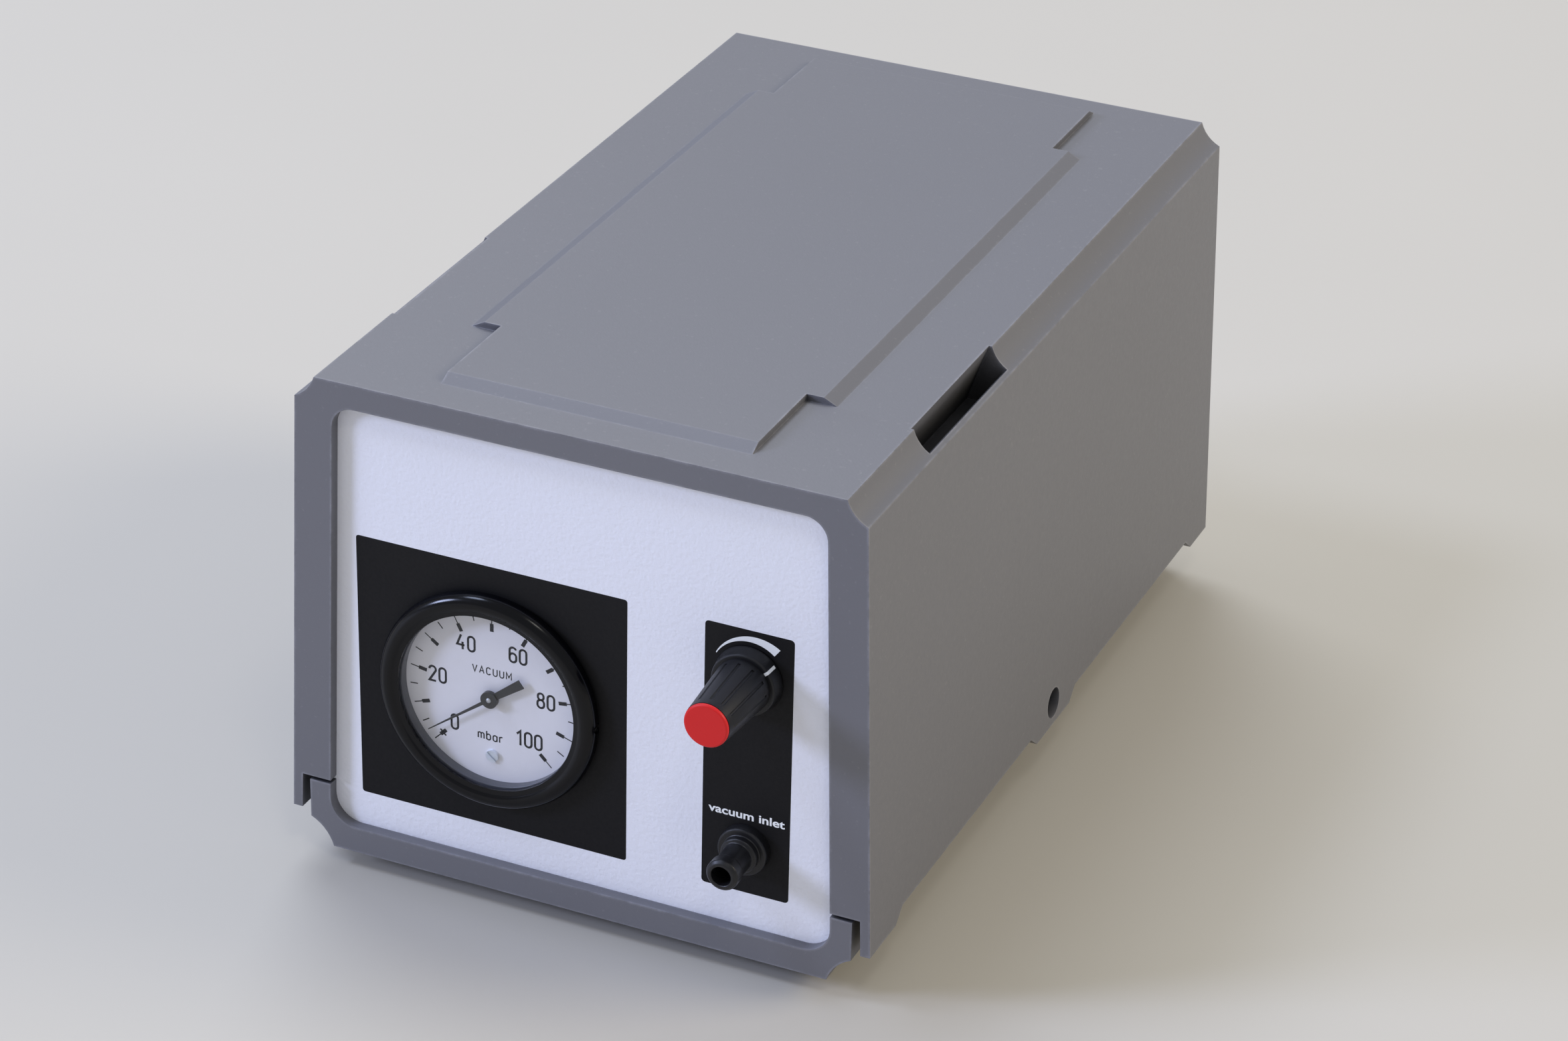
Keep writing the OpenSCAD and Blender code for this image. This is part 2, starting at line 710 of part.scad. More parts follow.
module bezel_screws() color(steel) for (m = [0, 1]) translate([gauge_x, 0, gauge_z]) mirror([m, 0, 0])
    difference() {
        bar_x(bezel_c[1], 0, glass_r + 2 * hole_gap, bezel_r - 0.8, bezel_screw_r);
        block_of([bezel_r - 1.6, bezel_c[1] - 2, -0.3], [bezel_r, bezel_c[1] + 2, 0.3]);
    }

module gauge_glass() color("lightblue", 0.3) bar_y(gauge_x, gauge_z, glass_y, glass_back, glass_r);

module glass_spacer() color(soft_black) turned(gauge_x, gauge_z) polygon([
    [sight_r - 0.3, glass_back], [can_r - can_wall - hole_gap, glass_back],
    [can_r - can_wall - hole_gap, dial_y], [sight_r - 0.3, dial_y]]);

module dial_plate() color(dial_white) difference() {
    bar_y(gauge_x, gauge_z, dial_y, dial_y + dial_t, can_r - can_wall - hole_gap);
    bar_y(gauge_x, gauge_z, dial_y - over, dial_y + over, arbor_r + 0.5);
    bar_y(gauge_x, gauge_z - set_screw_drop, dial_y - over, dial_y + over, 1 + hole_gap);
}

module dial_set_screw() color(steel) difference() {
    union() {
        bar_y(gauge_x, gauge_z - set_screw_drop, dial_y - 0.9, dial_y, set_screw_r);
        bar_y(gauge_x, gauge_z - set_screw_drop, dial_y - 0.1, dial_y + dial_t + 1.5, 1);
    }
    translate([gauge_x, 0, gauge_z - set_screw_drop]) rotate([0, 40, 0])
        block_of([-set_screw_r - over, dial_y - over, -0.3], [set_screw_r + over, dial_y - 0.4, 0.3]);
}

hub_y = glass_back + 0.5;
blade_y = hub_y + 0.5;
blade_t = 0.4;

// The pointer is drawn straight up and turned to its rest place
module gauge_pointer() color(soft_black) translate([gauge_x, 0, gauge_z]) rotate([0, needle_rest, 0])
    difference() {
        union() {
            bar_y(0, 0, hub_y, hub_y + 1.3, hub_r);
            slab(blade_y, blade_y + blade_t) polygon([
                [-0.55, 0], [-0.12, needle_len], [0.12, needle_len], [0.55, 0]]);
            slab(blade_y, blade_y + blade_t) polygon([
                [-0.9, 0], [-1.45, -tail_len], [1.45, -tail_len], [0.9, 0]]);
        }
        bar_y(0, 0, hub_y - over, hub_y + 2, arbor_r + 0.01);
    }

// Teeth out to radius tip, n of them, the first at angle a and each next one at a step before it
module teeth(tip, n, a, step) for (i = [0 : n - 1]) rotate(a - step * i)
    polygon([[tip - tooth_root - 0.3, -0.3], [tip, -0.12], [tip, 0.12], [tip - tooth_root - 0.3, 0.3]]);

module pointer_arbor() color(steel) {
    bar_y(gauge_x, gauge_z, hub_y + 0.2, plate_y[1] + plate_t, arbor_r);
    slab(pinion_y, pinion_y + pinion_w) translate([gauge_x, gauge_z]) {
        circle(r = pinion_tip - tooth_root);
        teeth(pinion_tip, pinion_teeth, -90, 360 / pinion_teeth);
    }
}

// The sector's teeth start half a step past its contact with the pinion
sector_step = 360 / pinion_teeth / sector_ratio;
sector_span = gauge_span / sector_ratio + 8;
sector_mid = 90 + needle_rest / sector_ratio;
sector_rim = 4;
tail_r = 8;

// Wedge between radii a and b with half angle w, pointing along X
module wedge(a, b, w) intersection() {
    difference() {
        circle(r = b);
        if (a > 0) circle(r = a);
    }
    polygon([[0, 0], [2 * b * cos(w), -2 * b * sin(w)], [2 * b, 0], [2 * b * cos(w), 2 * b * sin(w)]]);
}

module gear_sector() color(brass) {
    slab(pinion_y + 0.6, pinion_y + 0.6 + sector_t) translate(sector_c) {
        rotate(sector_mid) difference() {
            wedge(0, sector_tip - tooth_root, sector_span / 2);
            wedge(5, sector_tip - sector_rim, sector_span / 2 - 7);
        }
        circle(r = 3);
        rotate(sector_mid + 90) translate([0, -1.2]) square([tail_r, 2.4]);
        teeth(sector_tip, floor(sector_span / sector_step), 90 + sector_step / 2, sector_step);
    }
    bar_y(sector_c[0], sector_c[1], plate_y[0] + 0.2, plate_y[1] + plate_t - 0.2, arbor_r);
}

module movement_plates() color(brass) for (y = plate_y) difference() {
    bar_y(gauge_x, gauge_z, y, y + plate_t, plate_r);
    bar_y(gauge_x, gauge_z, y - over, y + plate_t + over, arbor_r + run_gap);
    bar_y(sector_c[0], sector_c[1], y - over, y + plate_t + over, arbor_r + run_gap);
    for (a = pillar_angles) bar_y(gauge_x + pillar_ring * cos(a), gauge_z + pillar_ring * sin(a),
        y - over, y + plate_t + over, pillar_r);
}

module movement_pillars() color(steel)
    for (a = pillar_angles) bar_y(gauge_x + pillar_ring * cos(a), gauge_z + pillar_ring * sin(a),
        plate_y[0] - 1, can_back - can_end_t, pillar_r);

// Two corrugated shells with waves from the rim to the post in the middle
capsule_waves = 4;
function wave_y(r) = 0.6 * sin(360 * capsule_waves * r / capsule_r);
capsule_rs = [for (i = [0 : 32]) capsule_r - i * (capsule_r - 2) / 32];

module pressure_capsule() color(brass) turned(gauge_x, gauge_z) polygon(concat(
    [[0, capsule_y - 3], [2, capsule_y - 3]],
    [for (i = [32 : -1 : 0]) [capsule_rs[i], capsule_y + 1.2 + wave_y(capsule_rs[i])]],
    [for (r = capsule_rs) [r, capsule_y + capsule_t - 1.2 - wave_y(r)]],
    [[0, capsule_y + capsule_t]]));

module gauge_stem() color(brass) difference() {
    union() {
        bar_y(gauge_x, gauge_z, capsule_y + capsule_t, manifold_y, stem_r);
        block_of([gauge_x - 6, manifold_y - 6, gauge_z - 6], [gauge_x + 6, manifold_y + 6, gauge_z + 6]);
        bar_x(manifold_y, gauge_z, gauge_x + 6, gauge_x + 6 + barb_len, barb_r);
    }
    bar_y(gauge_x, gauge_z, capsule_y + capsule_t - over, manifold_y, port_r);
    bar_x(manifold_y, gauge_z, gauge_x, gauge_x + 6 + barb_len + over, port_r);
}

module gauge_clamp() color(steel) difference() {
    union() {
        for (m = [-1, 1]) translate([gauge_x + m * (can_r + 4), 0, gauge_z])
            block_of([-clamp_t / 2, back_y, -clamp_hw], [clamp_t / 2, can_back + clamp_t, clamp_hw]);
        block_of([gauge_x - can_r - 4, can_back, gauge_z - clamp_hw],
            [gauge_x + can_r + 4, can_back + clamp_t, gauge_z + clamp_hw]);
    }
    bar_y(gauge_x, gauge_z, can_back - over, can_back + clamp_t + over, stem_r + 0.5);
    for (m = [-1, 1])
        bar_y(gauge_x + m * stud_x, gauge_z, can_back - over, can_back + clamp_t + over, stud_r + hole_gap);
}

module clamp_nuts() color(steel) for (m = [-1, 1]) nut_y(gauge_x + m * stud_x, gauge_z,
    can_back + clamp_t, can_back + clamp_t + m3_nut_t, m3_nut_r, stud_r + nut_gap);

// Regulator

// The grip tapers towards the cap, and its fine grooves lean in with it
module knob_grip() color(soft_black) difference() {
    turned(valve_x, valve_z) polygon([
        [collet_r + collet_gap, grip_y], [knob_r, grip_y], [knob_tip_r, knob_y + cap_t],
        [collet_r + collet_gap, knob_y + cap_t]]);
    for (i = [0 : knob_flutes - 1]) translate([valve_x, 0, valve_z]) rotate([0, i * 360 / knob_flutes, 0])
        translate([knob_r + flute_r / 3, grip_y, 0]) rotate([0, 0, -knob_taper])
        bar_y(0, 0, flute_end - knob_len, -flute_end, flute_r);
}

module knob_cap() color(cap_red) turned(valve_x, valve_z) polygon([
    [0, knob_y], [cap_r - 0.4, knob_y], [cap_r, knob_y + 0.4], [cap_r, knob_y + cap_t],
    [collet_r - 0.6, knob_y + cap_t], [collet_r - 0.6, knob_y + cap_t + 1], [0, knob_y + cap_t + 1]]);

module knob_skirt() color(soft_black) turned(valve_x, valve_z) polygon([
    [spindle_r + run_gap, grip_y], [skirt_r - skirt_in - 0.3, grip_y], [skirt_r - skirt_in, grip_y + 0.3],
    [skirt_r, skirt_back_y],
    [skirt_r - 1.7, skirt_back_y], [skirt_r - 1.7, skirt_edge_y + 0.25],
    [spindle_r + run_gap, skirt_edge_y + 0.25]]);

module knob_collet() color(brass) {
    difference() {
        bar_y(valve_x, valve_z, knob_y + 6, grip_y, collet_r);
        bar_y(valve_x, valve_z, knob_y + 5, grip_y + over, spindle_r + 0.01);
        slab(knob_y + 5, grip_y - 6) translate([valve_x, valve_z]) square([0.8, 14], center = true);
    }
    nut_y(valve_x, valve_z, knob_y + 3, knob_y + 6, collet_r - 0.3, spindle_r + 0.2);
}

// Air comes in along the spindle's end and leaves through its cross port when that meets the barb
module regulator_spindle() color(steel) difference() {
    bar_y(valve_x, valve_z, knob_y + 4, spindle_end, spindle_r);
    bar_y(valve_x, valve_z, manifold_y - port_r, spindle_end + over, port_r);
    bar_z(valve_x, manifold_y, valve_z - spindle_r - over, valve_z, port_r);
}

module regulator_body() color(brass) difference() {
    union() {
        bar_y(valve_x, valve_z, back_y, face_y + valve_len, valve_r);
        bar_y(valve_x, valve_z, face_y - panel_nut_t - 0.2, back_y + over, bush_r);
        bar_z(valve_x, manifold_y, valve_z - valve_r - barb_len, valve_z - valve_r / 2, barb_r);
    }
    bar_y(valve_x, valve_z, face_y - 4, spindle_end + seat_gap, spindle_r + run_gap);
    bar_y(valve_x, valve_z, spindle_end, face_y + valve_len + over, port_r);
    bar_z(valve_x, manifold_y, valve_z - valve_r - barb_len - over, valve_z, port_r);
}

module regulator_nut() color(steel)
    nut_y(valve_x, valve_z, face_y - panel_nut_t, face_y, panel_nut_r, bush_r + nut_gap);

module bleed_filter() color(copper)
    bar_y(valve_x, valve_z, face_y + valve_len, face_y + valve_len + 5, valve_r - 1);

// Hose fittings

// Nozzle, flange, bush and inner barb on one axis, with y running into the case from the panel's face
module hose_fitting_profile() polygon([
    [nozzle_bore, -frame_t - nozzle_out], [nozzle_tip_r - nozzle_bevel, -frame_t - nozzle_out],
    [nozzle_tip_r, -frame_t - nozzle_out + nozzle_bevel],
    [nozzle_tip_r, -frame_t - nozzle_out + nozzle_bevel + nozzle_land],
    [nozzle_neck_r, -frame_t - nozzle_out + 2 * nozzle_bevel + nozzle_land],
    [nozzle_neck_r, -nozzle_flange_t - 2.4], [nozzle_root_r, -nozzle_flange_t - 2],
    [nozzle_root_r, -nozzle_flange_t], [nozzle_flange_r - 0.4, -nozzle_flange_t],
    [nozzle_flange_r, -nozzle_flange_t + 0.4], [nozzle_flange_r, 0], [bush_r, 0],
    [bush_r, tail_len_in], [barb_r, tail_len_in], [barb_r, tail_len_in + barb_len],
    [port_r, tail_len_in + barb_len], [port_r, tail_len_in - 2], [nozzle_bore, tail_len_in - 2]]);

module vacuum_inlet() color(soft_black)
    translate([valve_x, face_y, inlet_z]) rotate([-90, 0, 0]) rotate_extrude($fn = 96) hose_fitting_profile();

module exhaust_outlet() color(soft_black)
    translate([valve_x, rear_face_y, inlet_z]) rotate([90, 0, 0]) rotate_extrude($fn = 96)
        hose_fitting_profile();

module fitting_nuts() color(steel) {
    nut_y(valve_x, inlet_z, back_y, back_y + tail_nut_t, fitting_nut_r, bush_r + nut_gap);
    nut_y(valve_x, inlet_z, rear_back_y - tail_nut_t, rear_back_y, fitting_nut_r, bush_r + nut_gap);
}

module hose_manifold() color(soft_black) {
    h = block / 2;
    difference() {
        union() {
            translate([valve_x, manifold_y, inlet_z]) cube(block, center = true);
            bar_y(valve_x, inlet_z, manifold_y - h - barb_len, manifold_y + h + barb_len, barb_r);
            bar_z(valve_x, manifold_y, inlet_z, inlet_z + h + barb_len, barb_r);
            bar_x(manifold_y, inlet_z, valve_x - h - barb_len, valve_x, barb_r);
        }
        bar_y(valve_x, inlet_z, manifold_y - h - barb_len - over, manifold_y + h + barb_len + over, port_r);
        bar_z(valve_x, manifold_y, inlet_z, inlet_z + h + barb_len + over, port_r);
        bar_x(manifold_y, inlet_z, valve_x - h - barb_len - over, valve_x, port_r);
    }
}

module hose_y(x, z, y0, y1) difference() {
    bar_y(x, z, y0, y1, hose_r);
    bar_y(x, z, y0 - over, y1 + over, hose_bore);
}

module inlet_hose() color(hose_clear) hose_y(valve_x, inlet_z,
    face_y + tail_len_in + hose_shoulder, manifold_y - block / 2 - hose_shoulder);

module pump_hose() color(hose_clear) hose_y(valve_x, inlet_z,
    manifold_y + block / 2 + hose_shoulder, head_y - chest_hw - hose_shoulder);

module exhaust_hose() color(hose_clear) hose_y(valve_x, inlet_z,
    head_y + chest_hw + hose_shoulder, rear_face_y - tail_len_in - hose_shoulder);

module regulator_hose() color(hose_clear) difference() {
    z0 = inlet_z + block / 2 + hose_shoulder;
    z1 = valve_z - valve_r - hose_shoulder;
    bar_z(valve_x, manifold_y, z0, z1, hose_r);
    bar_z(valve_x, manifold_y, z0 - over, z1 + over, hose_bore);
}

bend_r = (gauge_z - inlet_z) / 2;
bend_x = gauge_x + 6 + barb_len + 5;

module hose_ring() difference() {
    circle(r = hose_r);
    circle(r = hose_bore);
}

// The gauge hose drops to the manifold in two quarter bends
module gauge_hose() color(hose_clear) translate([0, manifold_y, 0]) {
    start_x = gauge_x + 6 + hose_shoulder;
    low_x = bend_x + 2 * bend_r;
    translate([start_x, 0, gauge_z]) rotate([0, 90, 0]) linear_extrude(bend_x - start_x) hose_ring();
    translate([bend_x, 0, gauge_z - bend_r]) rotate([90, 0, 0])
        rotate_extrude(angle = 90) translate([bend_r, 0]) hose_ring();
    translate([low_x, 0, inlet_z + bend_r]) rotate([-90, 0, 180])
        rotate_extrude(angle = 90) translate([bend_r, 0]) hose_ring();
    translate([low_x, 0, inlet_z]) rotate([0, 90, 0])
        linear_extrude(valve_x - block / 2 - hose_shoulder - low_x) hose_ring();
}

// Pump unit

module chassis_plate() color(steel) difference() {
    block_of([chassis_x[0], chassis_y[0], chassis_z], [chassis_x[1], chassis_y[1], deck_z]);
    for (x = post_x, y = post_y) bar_z(x, y, chassis_z - over, deck_z + over, grommet_neck);
}

module chassis_grommets() color(soft_black) for (x = post_x, y = post_y)
    translate([x, y, 0]) rotate_extrude() polygon([
        [post_screw_r + 0.3, floor_z + post_h], [grommet_r, floor_z + post_h], [grommet_r, chassis_z],
        [grommet_neck, chassis_z], [grommet_neck, deck_z], [grommet_r, deck_z],
        [grommet_r, deck_z + 1.5], [post_screw_r + 0.3, deck_z + 1.5]]);

module chassis_screws() color(steel) for (x = post_x, y = post_y) difference() {
    union() {
        bar_z(x, y, floor_z + 3, deck_z + 2, post_screw_r - barb_gap);
        bar_z(x, y, deck_z + 1.5, deck_z + 2.3, 5);
        bar_z(x, y, deck_z + 2.3, deck_z + 4.3, 2.9);
    }
    block_of([x - 4, y - 0.4, deck_z + 3.4], [x + 4, y + 0.4, deck_z + 5]);
}

module core_stand() color(steel) for (m = [-1, 1]) translate([arm_x + m * (core_w / 2 - 6), 0, 0]) {
    block_of([-6, core_y0, deck_z], [6, core_y1 - 2, deck_z + 2]);
    block_of([-6, core_y0, deck_z], [6, core_y0 + 3, arm_z - core_h / 2]);
    block_of([-6, core_y0, arm_z - core_h / 2 - 2], [6, core_y1 - 2, arm_z - core_h / 2]);
}

module magnet_core() color(steel) {
    z0 = arm_z - core_h / 2;
    z1 = arm_z + core_h / 2;
    x0 = arm_x - core_w / 2;
    x1 = arm_x + core_w / 2;
    block_of([x0, core_y0, z0], [x1, core_y0 + yoke_t, z1]);
    block_of([x0, core_y0, z0], [x0 + yoke_t, core_y1, z1]);
    block_of([x1 - yoke_t, core_y0, z0], [x1, core_y1, z1]);
    block_of([arm_x - yoke_t / 2, core_y0, z0], [arm_x + yoke_t / 2, core_y1, z1]);
}

// The winding shows as rings of wire round the middle leg
coil_rings = 11;

module drive_coil() color(copper) difference() {
    union() {
        y0 = core_y0 + yoke_t + coil_gap;
        y1 = core_y1 - 4;
        hw = core_w / 2 - yoke_t - coil_gap;
        hh = core_h / 2 + 8;
        for (y = [y0, y1 - 1.5]) block_of([arm_x - hw, y, arm_z - hh], [arm_x + hw, y + 1.5, arm_z + hh]);
        pitch = (y1 - y0 - 3) / coil_rings;
        for (i = [0 : coil_rings - 1]) block_of(
            [arm_x - hw + 0.8 + 0.4 * (i % 2), y0 + 1.4 + i * pitch, arm_z - hh + 1.8 + 0.4 * (i % 2)],
            [arm_x + hw - 0.8 - 0.4 * (i % 2), y0 + 1.6 + (i + 1) * pitch, arm_z + hh - 1.8 - 0.4 * (i % 2)]);
    }
    block_of([arm_x - yoke_t / 2 - coil_gap, core_y0, arm_z - core_h / 2 - coil_gap],
        [arm_x + yoke_t / 2 + coil_gap, core_y1 + over, arm_z + core_h / 2 + coil_gap]);
}

ear_gap = 0.3;
ear_t = 4;
bracket_hw = 9;

module arm_bracket() color(steel) difference() {
    union() {
        block_of([arm_x - bracket_hw, pivot_y - 8, deck_z], [arm_x + bracket_hw, pivot_y + 13, deck_z + 3]);
        block_of([arm_x - bracket_hw, pivot_y + 9, deck_z],
            [arm_x + bracket_hw, pivot_y + 13, arm_z + arm_h / 2 + ear_gap + ear_t]);
        for (z = [arm_z - arm_h / 2 - ear_gap - ear_t, arm_z + arm_h / 2 + ear_gap])
            block_of([arm_x - bracket_hw, pivot_y - 6, z], [arm_x + bracket_hw, pivot_y + 13, z + ear_t]);
    }
    bar_z(arm_x, pivot_y, deck_z + 5, arm_z + arm_h, pin_r + press_gap);
}

module pivot_pin() color(steel) {
    ear_z = arm_h / 2 + ear_gap + ear_t;
    bar_z(arm_x, pivot_y, arm_z - ear_z - 1, arm_z + ear_z, pin_r);
    bar_z(arm_x, pivot_y, arm_z + ear_z, arm_z + ear_z + pin_head_t, pin_r + pin_head_t);
}

module vibrating_arm() color(steel) difference() {
    union() {
        block_of([arm_x - arm_t / 2, magnet_y + magnet_t, arm_z - arm_h / 2],
            [arm_x + arm_t / 2, pivot_y, arm_z + arm_h / 2]);
        bar_z(arm_x, pivot_y, arm_z - arm_h / 2, arm_z + arm_h / 2, eye_r);
    }
    bar_z(arm_x, pivot_y, arm_z - arm_h, arm_z + arm_h, pin_r + run_gap);
    bar_x(head_y, arm_z, arm_x - arm_t, arm_x + arm_t, stud_hole_r + nut_gap);
}

module arm_magnet() color(steel)
    block_of([arm_x - magnet_hw, magnet_y, arm_z - magnet_h / 2],
        [arm_x + magnet_hw, magnet_y + magnet_t, arm_z + magnet_h / 2]);

module diaphragm_stud() color(steel) {
    bar_x(head_y, arm_z, arm_x - arm_t / 2 - 2.4, rubber_x + rubber_t + clamp_plate_t + 1, 2);
    bar_x(head_y, arm_z, arm_x - arm_t / 2 - 2.4, arm_x - arm_t / 2, 3.5);
    bar_x(head_y, arm_z, arm_x + arm_t / 2, rubber_x - clamp_plate_t + 0.01, 3);
    bar_x(head_y, arm_z, rubber_x - clamp_plate_t, rubber_x, clamp_plate_r);
    bar_x(head_y, arm_z, rubber_x + rubber_t, rubber_x + rubber_t + clamp_plate_t, clamp_plate_r);
}

bolt_ring = (diaphragm_r + cavity_r) / 2;
bolt_in = 8;
foot_lap = 4;
port_y = 8;
stud_hole_r = 2;
bolt_r = 1.5;
bolt_end = rubber_x + rubber_t + bolt_in;

// Places the head's screws round its axis
module head_bolts(x0, x1, r) for (a = [30 : 60 : 330])
    bar_x(head_y + bolt_ring * cos(a), arm_z + bolt_ring * sin(a), x0, x1, r);

module head_screws() color(steel) difference() {
    union() {
        head_bolts(rubber_x - ring_t, bolt_end, bolt_r);
        head_bolts(rubber_x - ring_t - 2, rubber_x - ring_t, bolt_r + 1.2);
    }
    for (a = [30 : 60 : 330]) translate([0, head_y + bolt_ring * cos(a), arm_z + bolt_ring * sin(a)])
        block_of([rubber_x - ring_t - 3, -4, -0.35], [rubber_x - ring_t - 1, 4, 0.35]);
}

module diaphragm() color(soft_black) difference() {
    bar_x(head_y, arm_z, rubber_x, rubber_x + rubber_t, diaphragm_r);
    bar_x(head_y, arm_z, rubber_x - over, rubber_x + rubber_t + over, 2);
    head_bolts(rubber_x - over, rubber_x + rubber_t + over, bolt_r + hole_gap);
}

// Clamp ring and chamber with the rubber between them
module pump_head() color(steel) {
    difference() {
        bar_x(head_y, arm_z, rubber_x - ring_t, rubber_x, diaphragm_r);
        bar_x(head_y, arm_z, rubber_x - ring_t - over, rubber_x + over, cavity_r);
        head_bolts(rubber_x - ring_t - over, rubber_x + over, bolt_r + hole_gap);
    }
    difference() {
        bar_x(head_y, arm_z, rubber_x + rubber_t, chest_x, diaphragm_r + 1);
        head_bolts(rubber_x, bolt_end + hole_gap, bolt_r + nut_gap);
        bar_x(head_y, arm_z, rubber_x + rubber_t - over, rubber_x + rubber_t + cavity_t, cavity_r);
        for (m = [-1, 1]) bar_x(head_y + m * port_y, arm_z, rubber_x, chest_x + over, port_r);
    }
    difference() {
        block_of([rubber_x + rubber_t, head_y - stand_w / 2, deck_z],
            [bolt_end, head_y + stand_w / 2, arm_z - diaphragm_r + foot_lap]);
        head_bolts(rubber_x, bolt_end + over, bolt_r + nut_gap);
    }
}

// Two chambers side by side, each with its own barb
module valve_chest() color(soft_black) difference() {
    union() {
        block_of([chest_x, head_y - chest_hw, arm_z - chest_hw],
            [chest_x + chest_t, head_y + chest_hw, arm_z + chest_hw]);
        bar_y(valve_x, inlet_z, head_y - chest_hw - barb_len, head_y + chest_hw + barb_len, barb_r);
    }
    for (m = [-1, 1]) translate([0, head_y + m * chest_hw / 2, 0])
        block_of([chest_x - over, -8, arm_z - 16], [chest_x + chest_t - 3, 8, arm_z + 16]);
    for (m = [-1, 1]) bar_y(valve_x, inlet_z, m < 0 ? head_y - chest_hw - barb_len - over : head_y + 12,
        m < 0 ? head_y - 12 : head_y + chest_hw + barb_len + over, port_r);
}

// Mains parts

mains_hw = socket_w / 2 + socket_wall;
mains_flange = 2.5;
mains_rim = 2;
socket_cut = [5, 4];

module mains_inlet() color(soft_black) difference() {
    union() {
        block_of([mains_x - mains_hw, rear_face_y - mains_body_d, mains_z0],
            [mains_x + mains_hw, rear_face_y + over, mains_z1]);
        block_of([mains_x - mains_hw - mains_flange, rear_face_y, mains_z0 - mains_rim],
            [mains_x + mains_hw + mains_flange, rear_face_y + mains_flange_t, mains_z1 + mains_rim]);
    }
    socket_y = rear_face_y + mains_flange_t - socket_d;
    slab(socket_y, rear_face_y + mains_flange_t + over) translate([mains_x, mains_z]) polygon([
        [-socket_w / 2, -socket_h / 2], [socket_w / 2, -socket_h / 2],
        [socket_w / 2, socket_h / 2 - socket_cut[1]], [socket_w / 2 - socket_cut[0], socket_h / 2],
        [-socket_w / 2 + socket_cut[0], socket_h / 2], [-socket_w / 2, socket_h / 2 - socket_cut[1]]]);
    block_of([mains_x - drawer_w / 2 - drawer_gap, rear_face_y + mains_flange_t - drawer_d - drawer_gap,
            drawer_z - drawer_h / 2 - drawer_gap],
        [mains_x + drawer_w / 2 + drawer_gap, rear_face_y + mains_flange_t + over,
            drawer_z + drawer_h / 2 + drawer_gap]);
    for (p = pin_places) block_of(
        [mains_x + p[0] - pin_hw, rear_face_y - mains_body_d - over, mains_z + p[1] - pin_hh],
        [mains_x + p[0] + pin_hw, socket_y + over, mains_z + p[1] + pin_hh]);
}

pin_hw = 1;
pin_hh = 2;
pin_places = [[-7, -2], [0, 2], [7, -2]];

module mains_pins() color(steel) for (p = pin_places) block_of(
    [mains_x + p[0] - pin_hw, rear_face_y - mains_body_d - 8, mains_z + p[1] - pin_hh],
    [mains_x + p[0] + pin_hw, rear_face_y + mains_flange_t - 2, mains_z + p[1] + pin_hh]);

module fuse_drawer() color(soft_black) difference() {
    y1 = rear_face_y + mains_flange_t;
    block_of([mains_x - drawer_w / 2, y1 - drawer_d, drawer_z - drawer_h / 2],
        [mains_x + drawer_w / 2, y1 + 0.6, drawer_z + drawer_h / 2]);
    block_of([mains_x - 4, y1 - 0.6, drawer_z - 1], [mains_x + 4, y1 + over, drawer_z + 1]);
}

switch_hw = rocker_w / 2 + rocker_gap + switch_wall;
switch_hh = rocker_h / 2 + rocker_gap + switch_wall + 1.5;
switch_d = 20;
rocker_y = rear_face_y - 4;
switch_rim = 1.5;
stub_r = 1.5;

module switch_frame() color(soft_black) difference() {
    union() {
        block_of([switch_x - switch_hw, rear_face_y - switch_d, switch_z - switch_hh],
            [switch_x + switch_hw, rear_face_y + over, switch_z + switch_hh]);
        block_of([switch_x - switch_hw - switch_rim, rear_face_y, switch_z - switch_hh - switch_rim],
            [switch_x + switch_hw + switch_rim, rear_face_y + mains_flange_t,
                switch_z + switch_hh + switch_rim]);
    }
    block_of([switch_x - rocker_w / 2 - rocker_gap, rear_face_y - switch_d + 2,
            switch_z - switch_hh + switch_wall],
        [switch_x + rocker_w / 2 + rocker_gap, rear_face_y + mains_flange_t + over,
            switch_z + switch_hh - switch_wall]);
    bar_x(rocker_y, switch_z, switch_x - switch_hw - over, switch_x + switch_hw + over, stub_r + run_gap);
}

// The rocker is drawn level and tilted to its off place
module switch_rocker() color(soft_black)
translate([switch_x, rocker_y, switch_z]) rotate([rocker_tilt, 0, 0]) {
    slab_x(-rocker_w / 2, rocker_w / 2) polygon([
        [-rocker_d / 2, -4], [3, -rocker_h / 2], [8.4, -rocker_h / 2 + 0.6], [7, 0],
        [8.4, rocker_h / 2 - 0.6], [3, rocker_h / 2], [-rocker_d / 2, 4]]);
    bar_x(0, 0, -switch_hw + seat_gap, switch_hw - seat_gap, stub_r);
}

upper_cover();
lower_tray();
front_panel();
rear_panel();
rubber_feet();
cover_screws();
lug_inserts();
gauge_can();
gauge_bezel();
bezel_screws();
gauge_glass();
glass_spacer();
dial_plate();
dial_set_screw();
gauge_pointer();
pointer_arbor();
gear_sector();
movement_plates();
movement_pillars();
pressure_capsule();
gauge_stem();
gauge_clamp();
clamp_nuts();
knob_grip();
knob_cap();
knob_skirt();
knob_collet();
regulator_spindle();
regulator_body();
regulator_nut();
bleed_filter();
vacuum_inlet();
exhaust_outlet();
fitting_nuts();
hose_manifold();
inlet_hose();
regulator_hose();
gauge_hose();
pump_hose();
exhaust_hose();
chassis_plate();
chassis_grommets();
chassis_screws();
core_stand();
magnet_core();
drive_coil();
arm_bracket();
pivot_pin();
vibrating_arm();
arm_magnet();
diaphragm_stud();
diaphragm();
pump_head();
head_screws();
valve_chest();
mains_inlet();
mains_pins();
fuse_drawer();
switch_frame();
switch_rocker();
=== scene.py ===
import json
import math

import bmesh
import bpy
from mathutils import Matrix, Vector

